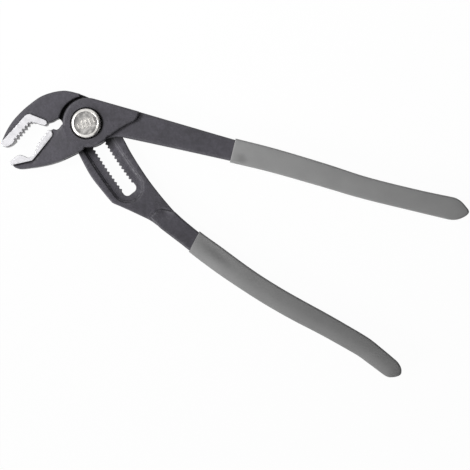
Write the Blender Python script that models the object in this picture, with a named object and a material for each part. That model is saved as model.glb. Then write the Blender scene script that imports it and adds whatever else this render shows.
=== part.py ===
"""Water pump pliers: two forged levers, a box joint and a push-button locking bolt.

Lengths are in metres. The origin is on the pivot's axis, level with the rear cheek's outer face.
X points towards the handles, Y towards the upper jaw's back and Z out of the button. The pose is
the first position in the slot, with the jaws part open.
"""

import math

import bmesh
import bpy
from mathutils import Matrix, Vector

# Gaps between neighbours
RUNNING_GAP = 0.0003
MESHING_GAP = 0.0003
OVERRUN = 0.002

# The joint's stack, from the rear face to the button
REAR_CHEEK_THICKNESS = 0.0038
RAIL_THICKNESS = 0.0058
PANEL_THICKNESS = 0.0024
FRONT_CHEEK_THICKNESS = 0.0050
HANDLE_THICKNESS = 0.0084
JAW_THICKNESS = 0.0120
LAND_THICKNESS = 0.0132
RAIL_LOW = REAR_CHEEK_THICKNESS + RUNNING_GAP
RAIL_HIGH = RAIL_LOW + RAIL_THICKNESS
MIDDLE = (RAIL_LOW + RAIL_HIGH) / 2
CHEEK_INNER_HIGH = RAIL_HIGH + RUNNING_GAP
CHEEK_TOP = CHEEK_INNER_HIGH + FRONT_CHEEK_THICKNESS

# Edge breaks of the forgings
CHEEK_CHAMFER = 0.0010
CHEEK_REAR_CHAMFER = 0.0006
JAW_CHAMFER = 0.0005
LAND_CHAMFER = 0.0003
RAIL_CHAMFER = 0.0004
HANDLE_CHAMFER = 0.0008

# The toothed slot runs on an arc through the pivot, centred on the handles' side
TRACK_RADIUS = 0.255
TRACK_HEADING = math.radians(-61.73)
TOOTH_PITCH = 0.00225
TOOTH_FLAT = 0.0003
SLOT_TIP_GAP = 0.0063
SLOT_ROOT_GAP = 0.0079
SLOT_STOPS = 18
SLOT_CORNER_RADIUS = 0.0025
PANEL_MARGIN = 0.0046
PANEL_DRAFT = 0.0005
TRACK_TRAVEL = SLOT_STOPS * TOOTH_PITCH

# Locking bolt
BOLT_TEETH = 3
BOLT_HEAD_RADIUS = 0.0050
BOLT_CORNER_RADIUS = 0.0009
BOLT_EDGE = 0.0003
TENON_RADIUS = 0.0020
TENON_LENGTH = 0.0011
PRESS_TRAVEL = 0.0031
SHANK_RADIUS = SLOT_TIP_GAP / 2 - RUNNING_GAP
BLOCK_THICKNESS = PANEL_THICKNESS + 2 * RUNNING_GAP
BLOCK_LOW = MIDDLE - BLOCK_THICKNESS / 2
BLOCK_HIGH = MIDDLE + BLOCK_THICKNESS / 2

# Button, spring and spring seat
BUTTON_RADIUS = 0.00785
BUTTON_PROUD = 0.0030
BUTTON_EDGE = 0.0013
BUTTON_WALL = 0.00075
BUTTON_CROWN = 0.0020
DISH_RADIUS = 0.0062
DISH_DEPTH = 0.0006
DISH_SLOPE = 0.0005
CHEEK_FLOOR = 0.0007
SEAT_THICKNESS = 0.0005
SPRING_WIRE = 0.0007
SPRING_TURNS = 3.5
SPRING_SMALL_RADIUS = 0.0039
SPRING_LARGE_RADIUS = 0.0065
SPRING_POINTS_PER_TURN = 12
COUNTERBORE_FLOOR = CHEEK_INNER_HIGH + CHEEK_FLOOR
SEAT_LOW = COUNTERBORE_FLOOR + RUNNING_GAP
SEAT_HIGH = SEAT_LOW + SEAT_THICKNESS
BUTTON_LOW = SEAT_HIGH + RUNNING_GAP + PRESS_TRAVEL
BUTTON_TOP = CHEEK_TOP + BUTTON_PROUD
BUTTON_UNDERSIDE = BUTTON_TOP - BUTTON_CROWN

# Box joint, seen from the button's side
BOSS_RADIUS = 0.0132
BOSS_CENTRE = (0.0006, 0.0005)
HEAD_RADIUS = 0.0137
JAW_STEP_RADIUS = 0.0149
CLOSING_ANGLE = math.radians(10.0)
OPENING_ANGLE = math.radians(27.0)
RAIL_REACH_RIGHT = 0.0140
RAIL_REACH_LEFT = 0.0127
COVER_LEAD = math.radians(14)
BOSS_TOP = math.radians(74)
WINDOW_REACH = 0.045

# Outline scales
JAW_REACH = 0.0456
JAW_RISE = 0.0176
JAW_DROP = 0.0242
LOWER_JAW_REACH = 0.0406
NECK_DISTANCE = 0.060
RAIL_HALF_WIDTH = 0.0120
SHOULDER_DISTANCE = 0.0282
UPPER_HANDLE_HEADING = math.radians(-13.0)
UPPER_HANDLE_LENGTH = 0.2044
UPPER_HANDLE_OFFSET = 0.0045
LOWER_HANDLE_LENGTH = 0.2143
LOWER_HANDLE_OFFSET = 0.0083
HANDLE_WIDTH = 0.0114
GRIP_WIDTH = 0.0122
GRIP_WALL = 0.0008
GRIP_FACE_WALL = 0.0009
GRIP_EDGE = 0.0020
UPPER_TOOTH_DEPTH = 0.0009
LOWER_TOOTH_DEPTH = 0.0004
UPPER_JAW_TEETH = 6
LOWER_JAW_TEETH = 7
LOWER_MOUTH_SLANT = 0.19

# Upper jaw, as shares of the jaw's reach along X and of its rise along Y
JAW_BACK_SHARES = (
    (-0.075, 0.905), (-0.120, 0.935), (-0.193, 0.980), (-0.274, 1.0), (-0.405, 0.946),
    (-0.543, 0.810), (-0.667, 0.580), (-0.768, 0.350), (-0.866, 0.068), (-0.940, -0.240),
    (-0.994, -0.550),
)
JAW_INSIDE_SHARES = (
    (-0.956, -0.655), (-0.864, -0.495), (-0.671, 0.097), (-0.620, 0.125), (-0.504, 0.051),
    (-0.458, 0.020), (-0.397, 0.068), (-0.357, 0.134), (-0.322, 0.165),
)
NECK_COVER_SHARES = (
    (-0.022, 0.852), (-0.070, 0.896), (-0.175, 0.886), (-0.351, 0.568), (-0.373, 0.227),
    (-0.312, 0.134), (-0.296, 0.088), (-0.284, 0.036), (-0.276, -0.030),
)
UPPER_NOSE_SHARES = (
    (-1.004, -0.590), (-1.0, -0.625), (-0.978, -0.688), (-0.947, -0.710), (-0.910, -0.688),
    (-0.873, -0.636),
)
UPPER_TEETH_SHARES = ((-0.838, -0.557), (-0.649, 0.011))
UPPER_THROAT_SHARES = (
    (-0.640, 0.043), (-0.623, 0.020), (-0.601, 0.026), (-0.544, -0.026), (-0.487, -0.063),
    (-0.465, -0.034), (-0.458, 0.017), (-0.469, 0.085), (-0.496, 0.122), (-0.636, 0.267),
    (-0.662, 0.293), (-0.693, 0.278), (-0.721, 0.233),
)

# Lower jaw, as shares of the lower jaw's reach along X and of its drop along Y
LOWER_TIP_SHARES = ((-0.438, -0.240), (-0.443, -0.205), (-0.451, -0.174), (-0.468, -0.149),
                    (-0.490, -0.147))
LOWER_TEETH_SHARES = ((-0.500, -0.157), (-0.586, -0.326), (-0.631, -0.442), (-0.658, -0.554),
                      (-0.690, -0.674))
LOWER_NOSE_SHARES = (
    (-0.709, -0.723), (-0.744, -0.756), (-0.783, -0.750), (-0.833, -0.705), (-0.867, -0.696),
    (-0.901, -0.711), (-0.951, -0.769), (-1.0, -0.847), (-1.007, -0.880), (-0.993, -0.913),
    (-0.966, -0.917), (-0.712, -0.822), (-0.695, -0.802), (-0.446, -0.285),
)
LOWER_BODY_TOP_SHARES = (
    (-0.222, -0.020), (-0.300, -0.018), (-0.322, -0.029), (-0.337, -0.069), (-0.360, -0.115),
    (-0.389, -0.143), (-0.429, -0.122), (-0.453, -0.140), (-0.478, -0.207), (-0.606, -0.496),
    (-0.665, -0.744), (-0.739, -0.814), (-0.837, -0.773), (-0.946, -0.851), (-0.968, -0.909),
)
LOWER_BODY_BELOW_SHARES = (
    (-0.958, -0.946), (-0.924, -0.983), (-0.869, -1.0), (-0.744, -0.979), (-0.611, -0.946),
    (-0.480, -0.899), (-0.347, -0.826), (-0.217, -0.727), (-0.115, -0.640), (-0.037, -0.566),
    (0.0, -0.413),
)

# Shoulder between the cheeks and the upper handle, as shares of its distance from the pivot
SHOULDER_SHARES = (
    (0.436, -0.230), (0.482, -0.206), (0.638, -0.096), (0.791, -0.007), (0.904, 0.043),
    (0.957, 0.092), (0.989, 0.156), (1.0, 0.226),
)

# Edges of the rail in the slot's own frame: shares of the neck's distance and the half width
RAIL_RIGHT_SHARES = (
    (1.233, 0.925), (1.133, 0.890), (1.0, 0.900), (0.767, 0.933), (0.600, 0.975), (0.423, 1.025),
    (0.267, 1.085), (0.055, 1.108),
)
RAIL_LEFT_SHARES = (
    (-0.075, -0.962), (0.183, -0.975), (0.400, -1.050), (0.550, -1.017), (0.675, -0.979),
    (0.710, -0.945), (0.765, -0.790), (0.850, -0.570), (0.938, -0.365), (1.030, -0.175),
    (1.133, -0.067), (1.233, -0.010),
)

# Where each handle leaves its forging, as shares of the shoulder's or the neck's distance
UPPER_ROOT_SHARES = (
    (0.248, 0.284), (0.248, -0.213), (0.340, -0.309), (0.400, -0.234), (0.457, -0.181),
    (0.539, -0.140), (0.624, -0.113),
)
LOWER_ROOT_SHARES = (
    (1.067, 0.142), (1.017, 0.100), (0.999, 0.053), (0.999, 0.008), (1.010, -0.022),
)

# Handles and grips: shares of the handle's length, its offset and its width
UPPER_STEEL_SHARES = (
    (0.098, 1.127, 1.351), (0.120, 1.122, 1.333), (0.254, 0.989, 1.158), (0.386, 0.844, 1.005),
)
UPPER_GRIP_SHARES = (
    (0.389, 0.838, 1.060), (0.499, 0.756, 1.033), (0.636, 0.400, 1.0), (0.748, 0.033, 0.951),
    (0.881, -0.067, 0.943), (0.983, -0.044, 0.984),
)
LOWER_STEEL_SHARES = (
    (0.051, 0.590, 1.030), (0.097, 0.675, 0.978), (0.140, 0.753, 0.952), (0.168, 0.790, 0.950),
)
LOWER_GRIP_SHARES = (
    (0.173, 0.800, 1.000), (0.279, 0.925, 1.035), (0.421, 0.970, 0.985), (0.615, 0.930, 0.975),
    (0.743, 0.790, 0.940), (0.868, 0.410, 0.915), (0.933, 0.000, 0.885), (0.991, -0.470, 0.836),
)

# Blunt ends: shares of the half width ahead of the last station and to its side
UPPER_END_SHARES = (
    (0.45, -0.94), (0.80, -0.80), (1.12, -0.58), (1.38, -0.34), (1.54, -0.06), (1.47, 0.18),
    (1.22, 0.40), (0.95, 0.61), (0.65, 0.80), (0.33, 0.93),
)
LOWER_END_SHARES = (
    (0.30, -0.97), (0.60, -0.86), (0.90, -0.62), (1.14, -0.36), (1.32, -0.06), (1.33, 0.20),
    (1.12, 0.52), (0.88, 0.72), (0.60, 0.86), (0.30, 0.96),
)

CURVE_STEPS = 3
FINE_STEPS = 6
ARC_STEP = math.radians(7.5)
TURNED_STEPS = 48
BAR_STEPS = 5


def clear_scene():
    for obj in list(bpy.data.objects):
        bpy.data.objects.remove(obj, do_unlink=True)


def steel(name, colour, roughness, metallic):
    material = bpy.data.materials.new(name)
    material.use_nodes = True
    shader = material.node_tree.nodes["Principled BSDF"]
    shader.inputs["Base Color"].default_value = (*colour, 1.0)
    shader.inputs["Roughness"].default_value = roughness
    shader.inputs["Metallic"].default_value = metallic
    return material


def sized(shares, along, across):
    """Shares of two named sizes, as points."""
    return [(x * along, y * across) for x, y in shares]


def arc(centre, radius, start, end):
    """Points on a circle from one angle to the other, both ends included."""
    steps = max(2, math.ceil(abs(end - start) / ARC_STEP))
    angles = [start + (end - start) * i / steps for i in range(steps + 1)]
    return [(centre[0] + radius * math.cos(a), centre[1] + radius * math.sin(a)) for a in angles]


def smooth(points, steps=CURVE_STEPS):
    """A curve through every point, bending evenly between them."""
    points = [Vector(p) for p in points]
    ends = [2 * points[0] - points[1], *points, 2 * points[-1] - points[-2]]
    curve = []
    for i in range(1, len(ends) - 2):
        before, start, end, after = ends[i - 1 : i + 3]
        for step in range(steps):
            t = step / steps
            curve.append(0.5 * (
                2 * start + (end - before) * t
                + (2 * before - 5 * start + 4 * end - after) * t * t
                + (3 * start - before - 3 * end + after) * t * t * t
            ))
    curve.append(points[-1])
    return [tuple(p) for p in curve]


def turned_by(points, angle):
    cos, sin = math.cos(angle), math.sin(angle)
    return [(x * cos - y * sin, x * sin + y * cos) for x, y in points]


def track_centre():
    """Centre of the slot's arc, square to its heading at the pivot."""
    return (-TRACK_RADIUS * math.sin(TRACK_HEADING), TRACK_RADIUS * math.cos(TRACK_HEADING))


def on_track(points):
    """Points given along and across the slot's arc, as points of the tool."""
    centre = track_centre()
    placed = []
    for along, across in points:
        angle = TRACK_HEADING - math.pi / 2 + along / TRACK_RADIUS
        reach = TRACK_RADIUS - across
        placed.append((centre[0] + reach * math.cos(angle), centre[1] + reach * math.sin(angle)))
    return placed


def toothed(points, count, depth):
    """Teeth along a curve: flat tips on it and flat roots cut to its left."""
    curve = [Vector(p) for p in smooth(points, FINE_STEPS)]
    lengths = [0.0]
    for a, b in zip(curve, curve[1:]):
        lengths.append(lengths[-1] + (b - a).length)

    def place(share, side):
        wanted = share * lengths[-1]
        i = next(i for i in range(1, len(curve)) if lengths[i] >= wanted or i == len(curve) - 1)
        run = curve[i] - curve[i - 1]
        spot = curve[i - 1] + run * ((wanted - lengths[i - 1]) / (lengths[i] - lengths[i - 1]))
        left = Vector((-run.y, run.x)).normalized()
        return tuple(spot + left * side)

    profile = []
    for tooth in range(count):
        for step, side in ((0.0, 0.0), (0.2, 0.0), (0.5, depth), (0.7, depth)):
            profile.append(place((tooth + step) / count, side))
    profile.append(place(1.0, 0.0))
    return profile


def bar(stations, end, root=(), slant=0.0):
    """A bar from its centre line and widths, with a blunt far end and a root at its near one.

    Its near end slants by a share of its width, so that the right corner lies further along.
    """
    rows = smooth(stations, BAR_STEPS)
    left, right = [], []
    for i, (x, y, width) in enumerate(rows):
        ahead, behind = rows[min(i + 1, len(rows) - 1)], rows[max(i - 1, 0)]
        run = Vector((ahead[0] - behind[0], ahead[1] - behind[1])).normalized()
        side = Vector((-run.y, run.x)) * (width / 2)
        left.append((x + side.x, y + side.y))
        right.append((x - side.x, y - side.y))
    ahead = run * rows[-1][2] / 2
    shift = Vector(rows[1][:2]) - Vector(rows[0][:2])
    shift *= slant * rows[0][2] / 2 / shift.length
    left[0] = (left[0][0] - shift.x, left[0][1] - shift.y)
    right[0] = (right[0][0] + shift.x, right[0][1] + shift.y)
    cap = [(x + ahead.x * far + side.x * out, y + ahead.y * far + side.y * out) for far, out in end]
    return [*right, *cap, *left[::-1], *root]


def anticlockwise(outline):
    area = sum(
        before[0] * here[1] - here[0] * before[1]
        for before, here in zip(outline[-1:] + outline[:-1], outline)
    )
    return outline if area > 0 else outline[::-1]


def drawn_in(outline, inset):
    """The outline moved inwards by one distance, or outwards where it is negative."""
    outline = anticlockwise(outline)
    moved = []
    for i, point in enumerate(outline):
        here = Vector(point)
        before = (here - Vector(outline[i - 1])).normalized()
        after = (Vector(outline[(i + 1) % len(outline)]) - here).normalized()
        first, second = Vector((-before.y, before.x)), Vector((-after.y, after.x))
        spread = max(0.4, 1.0 + first.dot(second))
        moved.append(tuple(here + (first + second) * (inset / spread)))
    return moved


def new_object(name, bm, materials):
    if bm.calc_volume(signed=True) < 0:
        bmesh.ops.reverse_faces(bm, faces=bm.faces)
    mesh = bpy.data.meshes.new(name)
    bm.to_mesh(mesh)
    bm.free()
    for material in materials:
        mesh.materials.append(material)
    obj = bpy.data.objects.new(name, mesh)
    bpy.context.scene.collection.objects.link(obj)
    return obj


def plate(name, outline, levels, materials=(), slot=0):
    """A plate whose outline is drawn in by its own distance at each level."""
    bm = bmesh.new()
    rings = [
        [bm.verts.new((x, y, z)) for x, y in drawn_in(outline, inset)] for z, inset in levels
    ]
    for low, high in zip(rings, rings[1:]):
        for i in range(len(low)):
            j = (i + 1) % len(low)
            bm.faces.new((low[i], low[j], high[j], high[i]))
    caps = [bm.faces.new(rings[0][::-1]), bm.faces.new(rings[-1])]
    bm.normal_update()
    bmesh.ops.triangulate(bm, faces=caps, ngon_method="EAR_CLIP")
    for face in bm.faces:
        face.material_index = slot
    return new_object(name, bm, materials)


def chamfered(low, high, chamfer, low_chamfer=None):
    """Levels of a plate with a chamfer round each face."""
    low_chamfer = chamfer if low_chamfer is None else low_chamfer
    return (
        (low, low_chamfer), (low + low_chamfer, 0.0), (high - chamfer, 0.0), (high, chamfer),
    )


def around_middle(thickness, chamfer):
    return chamfered(MIDDLE - thickness / 2, MIDDLE + thickness / 2, chamfer)


def through(low, high):
    return ((low, 0.0), (high, 0.0))


def turned(name, profile, materials=()):
    """A solid of revolution round the pivot's axis, from a closed half profile."""
    bm = bmesh.new()
    verts = [bm.verts.new((radius, 0.0, z)) for radius, z in profile]
    edges = [bm.edges.new(pair) for pair in zip(verts, verts[1:] + verts[:1])]
    on_axis = [e for e in edges if all(v.co.x == 0.0 for v in e.verts)]
    bmesh.ops.delete(bm, geom=on_axis, context="EDGES_FACES")
    bmesh.ops.spin(
        bm, geom=bm.verts[:] + bm.edges[:], cent=(0, 0, 0), axis=(0, 0, 1),
        angle=math.tau, steps=TURNED_STEPS, use_merge=True, use_duplicate=False,
    )
    bmesh.ops.remove_doubles(bm, verts=bm.verts, dist=RUNNING_GAP / 100)
    return new_object(name, bm, materials)


def disc(name, radius, low, high):
    return turned(name, ((0.0, low), (radius, low), (radius, high), (0.0, high)))


def combine(base, added=(), removed=()):
    """The base with the added shapes joined to it and the removed ones cut from it."""
    for operation, helpers in (("UNION", added), ("DIFFERENCE", removed)):
        for helper in helpers:
            helper.hide_render = True
            helper.display_type = "WIRE"
            modifier = base.modifiers.new(helper.name, "BOOLEAN")
            modifier.operation = operation
            modifier.object = helper
            modifier.solver = "EXACT"
    bpy.context.view_layer.update()
    graph = bpy.context.evaluated_depsgraph_get()
    mesh = bpy.data.meshes.new_from_object(base.evaluated_get(graph))
    base.modifiers.clear()
    base.data = mesh
    for helper in (*added, *removed):
        bpy.data.objects.remove(helper, do_unlink=True)
    return base


def shade(obj):
    obj.data.shade_smooth()
    obj.data.set_sharp_from_angle(angle=math.radians(32))


def toothed_flank(half_tip, half_root, count, first_root):
    """One side of a toothed strip, as points along and across it, roots on the pitch marks."""
    flank = []
    slope = (TOOTH_PITCH - 2 * TOOTH_FLAT) / 2
    for i in range(count):
        root = first_root + i * TOOTH_PITCH
        flank.append((root - TOOTH_FLAT / 2 - slope, half_tip))
        flank.append((root - TOOTH_FLAT / 2, half_root))
        flank.append((root + TOOTH_FLAT / 2, half_root))
        flank.append((root + TOOTH_FLAT / 2 + slope, half_tip))
    return flank


def slot_outline():
    """The slot: teeth on both flanks and a rounded end past the last position."""
    block_reach = (BOLT_TEETH / 2) * TOOTH_PITCH
    start = -block_reach - MESHING_GAP
    end = TRACK_TRAVEL + block_reach + 2 * MESHING_GAP
    half_root = SLOT_ROOT_GAP / 2
    teeth = SLOT_STOPS + BOLT_TEETH - 1
    first_root = -(BOLT_TEETH - 1) / 2 * TOOTH_PITCH
    flank = toothed_flank(SLOT_TIP_GAP / 2, half_root, teeth, first_root)[:-1]
    corner = half_root - SLOT_CORNER_RADIUS
    round_end = arc((end - SLOT_CORNER_RADIUS, corner), SLOT_CORNER_RADIUS, math.pi / 2, 0.0)
    upper = [(start, SLOT_TIP_GAP / 2), *flank, *round_end]
    upper = [p for i, p in enumerate(upper) if i == 0 or p[0] > upper[i - 1][0]]
    return [(x, -y) for x, y in upper] + upper[::-1]


def block_outline():
    """The bolt's toothed block, the slot's profile drawn in by the meshing gap."""
    half_tip = SLOT_ROOT_GAP / 2 - MESHING_GAP
    half_root = SLOT_TIP_GAP / 2 - MESHING_GAP
    first = -(BOLT_TEETH - 1) / 2 * TOOTH_PITCH
    flank = toothed_flank(half_root, half_tip, BOLT_TEETH, first)
    end = flank[-1][0] - MESHING_GAP / 2
    corner = arc(
        (end - BOLT_CORNER_RADIUS, half_root - BOLT_CORNER_RADIUS), BOLT_CORNER_RADIUS,
        math.pi / 2, 0.0,
    )
    kept = [p for p in flank if abs(p[0]) < end - BOLT_CORNER_RADIUS]
    mirrored = [(-x, y) for x, y in corner[::-1]]
    upper = mirrored + kept + corner
    return [(x, -y) for x, y in upper] + upper[::-1]


def panel_outline():
    """The recess round the slot, a stadium on the slot's own line."""
    half = SLOT_ROOT_GAP / 2 + PANEL_MARGIN
    end = TRACK_TRAVEL + (BOLT_TEETH / 2) * TOOTH_PITCH - SLOT_ROOT_GAP / 2 + RUNNING_GAP
    line = [(end * i / FINE_STEPS, -half) for i in range(1, FINE_STEPS)]
    far = arc((end, 0.0), half, -math.pi / 2, math.pi / 2)
    near = arc((0.0, 0.0), half, math.pi / 2, 3 * math.pi / 2)
    return line + far + [(x, -y) for x, y in line[::-1]] + near


def rail_outline():
    """The neck, the head under the cheeks and the rail down to the handle."""
    left = on_track(smooth(sized(RAIL_LEFT_SHARES, NECK_DISTANCE, RAIL_HALF_WIDTH)))
    right = on_track(smooth(sized(RAIL_RIGHT_SHARES, NECK_DISTANCE, RAIL_HALF_WIDTH)))
    start = math.atan2(right[-1][1], right[-1][0])
    cover = sized(NECK_COVER_SHARES, JAW_REACH, JAW_RISE)
    end = math.atan2(cover[0][1], cover[0][0]) - COVER_LEAD
    return left + right + arc((0.0, 0.0), HEAD_RADIUS, start, end)[1:] + cover


def upper_jaw_outline():
    inside = sized(JAW_INSIDE_SHARES, JAW_REACH, JAW_RISE)
    back = smooth(sized(JAW_BACK_SHARES, JAW_REACH, JAW_RISE))
    start = math.atan2(inside[-1][1], inside[-1][0])
    end = math.atan2(back[0][1], back[0][0])
    return inside + arc((0.0, 0.0), JAW_STEP_RADIUS, start, end)[1:-1] + back


def upper_land_outline():
    nose = smooth(sized(UPPER_NOSE_SHARES, JAW_REACH, JAW_RISE))
    teeth = sized(UPPER_TEETH_SHARES, JAW_REACH, JAW_RISE)
    throat = sized(UPPER_THROAT_SHARES, JAW_REACH, JAW_RISE)
    return nose + toothed(teeth, UPPER_JAW_TEETH, UPPER_TOOTH_DEPTH) + throat


def lower_land_outline():
    tip = sized(LOWER_TIP_SHARES, LOWER_JAW_REACH, JAW_DROP)
    teeth = sized(LOWER_TEETH_SHARES, LOWER_JAW_REACH, JAW_DROP)
    nose = sized(LOWER_NOSE_SHARES, LOWER_JAW_REACH, JAW_DROP)
    return tip + toothed(teeth, LOWER_JAW_TEETH, LOWER_TOOTH_DEPTH) + nose


def lower_jaw_outline():
    top = sized(LOWER_BODY_TOP_SHARES, LOWER_JAW_REACH, JAW_DROP)
    below = smooth(sized(LOWER_BODY_BELOW_SHARES, LOWER_JAW_REACH, JAW_DROP))
    return top + below


def cheek_outline():
    """The round boss and the shoulder that the upper handle leaves from."""
    shoulder = smooth(sized(SHOULDER_SHARES, SHOULDER_DISTANCE, SHOULDER_DISTANCE))
    below = math.atan2(shoulder[0][1] - BOSS_CENTRE[1], shoulder[0][0] - BOSS_CENTRE[0])
    return arc(BOSS_CENTRE, BOSS_RADIUS, BOSS_TOP, math.tau + below)[:-1] + shoulder


def window_outline():
    """The space that the rail sweeps between the cheeks as the pivot lever turns."""
    closed = TRACK_HEADING + CLOSING_ANGLE
    opened = TRACK_HEADING - OPENING_ANGLE
    apex = (closed + opened) / 2 + math.pi / 2
    spread = math.cos((closed - opened) / 2)
    right = Vector((math.cos(apex), math.sin(apex))) * ((RAIL_REACH_RIGHT + RUNNING_GAP) / spread)
    left = Vector((math.cos(apex), math.sin(apex))) * (-(RAIL_REACH_LEFT + RUNNING_GAP) / spread)
    ahead = Vector((math.cos(closed), math.sin(closed))) * WINDOW_REACH
    down = Vector((math.cos(opened), math.sin(opened))) * WINDOW_REACH
    return [tuple(p) for p in (
        right, right - down, left - ahead, left, left + down, right + ahead,
    )]


def stations(shares, start, length, offset, width):
    """Centre line and width of a bar whose shares run from its start to its full length."""
    span = length - start
    return [(start + far * span, aside * offset, wide * width) for far, aside, wide in shares]


def upper_sleeve():
    return stations(
        UPPER_GRIP_SHARES, 0.0, UPPER_HANDLE_LENGTH, UPPER_HANDLE_OFFSET, GRIP_WIDTH,
    )


def lower_sleeve():
    return stations(
        LOWER_GRIP_SHARES, NECK_DISTANCE, LOWER_HANDLE_LENGTH, LOWER_HANDLE_OFFSET, GRIP_WIDTH,
    )


def inside(sleeve):
    """The steel's narrower run inside a sleeve, from past its mouth."""
    narrower = 2 * (GRIP_WALL + RUNNING_GAP)
    return [(x, y, width - narrower) for x, y, width in sleeve[1:]]


def upper_core():
    bare = stations(
        UPPER_STEEL_SHARES, 0.0, UPPER_HANDLE_LENGTH, UPPER_HANDLE_OFFSET, HANDLE_WIDTH,
    )
    root = sized(UPPER_ROOT_SHARES, SHOULDER_DISTANCE, SHOULDER_DISTANCE)
    outline = bar(bare + inside(upper_sleeve()), UPPER_END_SHARES, root)
    return turned_by(outline, UPPER_HANDLE_HEADING)


def lower_core():
    bare = stations(
        LOWER_STEEL_SHARES, NECK_DISTANCE, LOWER_HANDLE_LENGTH, LOWER_HANDLE_OFFSET, HANDLE_WIDTH,
    )
    root = sized(LOWER_ROOT_SHARES, NECK_DISTANCE, NECK_DISTANCE)
    return on_track(bar(bare + inside(lower_sleeve()), LOWER_END_SHARES, root))


def grip(name, outline, core, material):
    """A dipped sleeve: rounded outside, closed at the end, hollow round the handle."""
    half = HANDLE_THICKNESS / 2 + RUNNING_GAP + GRIP_FACE_WALL
    low, high = MIDDLE - half, MIDDLE + half
    levels = []
    for i in range(CURVE_STEPS + 1):
        angle = math.pi / 2 * i / CURVE_STEPS
        levels.append((low + GRIP_EDGE * (1 - math.sin(angle)), GRIP_EDGE * (1 - math.cos(angle))))
    levels = levels[::-1]
    levels += [(low + high - z, inset) for z, inset in levels[::-1]]
    sleeve = plate(name, outline, levels, (material,))
    hollow = plate(
        name + "_hollow", drawn_in(core, -RUNNING_GAP),
        chamfered(
            MIDDLE - HANDLE_THICKNESS / 2 - RUNNING_GAP,
            MIDDLE + HANDLE_THICKNESS / 2 + RUNNING_GAP, HANDLE_CHAMFER,
        ),
    )
    return combine(sleeve, removed=(hollow,))


def slotted_lever(black, bright):
    """Upper jaw, neck, rail with its slot and lower handle, one forging."""
    materials = (black, bright)
    lever = plate(
        "slotted_lever", rail_outline(), chamfered(RAIL_LOW, RAIL_HIGH, RAIL_CHAMFER), materials,
    )
    jaw = plate("jaw", upper_jaw_outline(), around_middle(JAW_THICKNESS, JAW_CHAMFER), materials)
    land = plate(
        "land", upper_land_outline(), around_middle(LAND_THICKNESS, LAND_CHAMFER), materials, 1,
    )
    handle = plate(
        "handle", lower_core(), around_middle(HANDLE_THICKNESS, HANDLE_CHAMFER), materials,
    )
    slot = plate("slot", on_track(slot_outline()), through(-OVERRUN, CHEEK_TOP))
    panel = on_track(panel_outline())
    half = PANEL_THICKNESS / 2
    front = plate("front_panel", panel, (
        (MIDDLE + half, PANEL_DRAFT), (RAIL_HIGH, 0.0), (RAIL_HIGH + OVERRUN, 0.0),
    ))
    rear = plate("rear_panel", panel, (
        (RAIL_LOW - OVERRUN, 0.0), (RAIL_LOW, 0.0), (MIDDLE - half, PANEL_DRAFT),
    ))
    return combine(lever, (jaw, land, handle), (front, rear, slot))


def pivot_lever(black, bright):
    """Lower jaw, two cheeks with the window between them and upper handle, one forging."""
    materials = (black, bright)
    lever = plate(
        "pivot_lever", cheek_outline(),
        chamfered(0.0, CHEEK_TOP, CHEEK_CHAMFER, CHEEK_REAR_CHAMFER), materials,
    )
    jaw = plate("jaw", lower_jaw_outline(), around_middle(JAW_THICKNESS, JAW_CHAMFER), materials)
    land = plate(
        "land", lower_land_outline(), around_middle(LAND_THICKNESS, LAND_CHAMFER), materials, 1,
    )
    handle = plate(
        "handle", upper_core(), around_middle(HANDLE_THICKNESS, HANDLE_CHAMFER), materials,
    )
    window = plate("window", window_outline(), through(REAR_CHEEK_THICKNESS, CHEEK_INNER_HIGH))
    counterbore = disc(
        "counterbore", BUTTON_RADIUS + RUNNING_GAP, COUNTERBORE_FLOOR, CHEEK_TOP + OVERRUN,
    )
    shank_bore = disc("shank_bore", SHANK_RADIUS + RUNNING_GAP, MIDDLE, CHEEK_TOP)
    head_bore = disc("head_bore", BOLT_HEAD_RADIUS + RUNNING_GAP, -OVERRUN, MIDDLE)
    return combine(lever, (jaw, land, handle), (window, counterbore, shank_bore, head_bore))


def locking_bolt(bright):
    """Round head in the rear cheek, toothed block in the slot, shank and tenon."""
    head = turned("locking_bolt", (
        (0.0, 0.0),
        (BOLT_HEAD_RADIUS - BOLT_EDGE, 0.0),
        (BOLT_HEAD_RADIUS, BOLT_EDGE),
        (BOLT_HEAD_RADIUS, BLOCK_LOW),
        (0.0, BLOCK_LOW),
    ), (bright,))
    block = plate(
        "block", on_track(block_outline()), through(BLOCK_LOW - RUNNING_GAP, BLOCK_HIGH),
        (bright,),
    )
    shoulder = BUTTON_UNDERSIDE - RUNNING_GAP
    shank = turned("shank", (
        (0.0, MIDDLE), (SHANK_RADIUS, MIDDLE), (SHANK_RADIUS, shoulder),
        (TENON_RADIUS, shoulder), (TENON_RADIUS, shoulder + TENON_LENGTH),
        (0.0, shoulder + TENON_LENGTH),
    ), (bright,))
    return combine(head, (block, shank))


def push_button(chrome):
    """Domed cap with a dished face and a skirt that hides the spring."""
    skirt = BUTTON_RADIUS - BUTTON_WALL
    socket = TENON_RADIUS + RUNNING_GAP
    socket_top = BUTTON_UNDERSIDE + TENON_LENGTH
    profile = [(0.0, socket_top), (socket, socket_top), (socket, BUTTON_UNDERSIDE),
               (skirt, BUTTON_UNDERSIDE), (skirt, BUTTON_LOW), (BUTTON_RADIUS, BUTTON_LOW)]
    profile += arc(
        (BUTTON_RADIUS - BUTTON_EDGE, BUTTON_TOP - BUTTON_EDGE), BUTTON_EDGE, 0.0, math.pi / 2,
    )
    profile += [(DISH_RADIUS, BUTTON_TOP), (DISH_RADIUS - DISH_SLOPE, BUTTON_TOP - DISH_DEPTH),
                (0.0, BUTTON_TOP - DISH_DEPTH)]
    return turned("push_button", profile, (chrome,))


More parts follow.
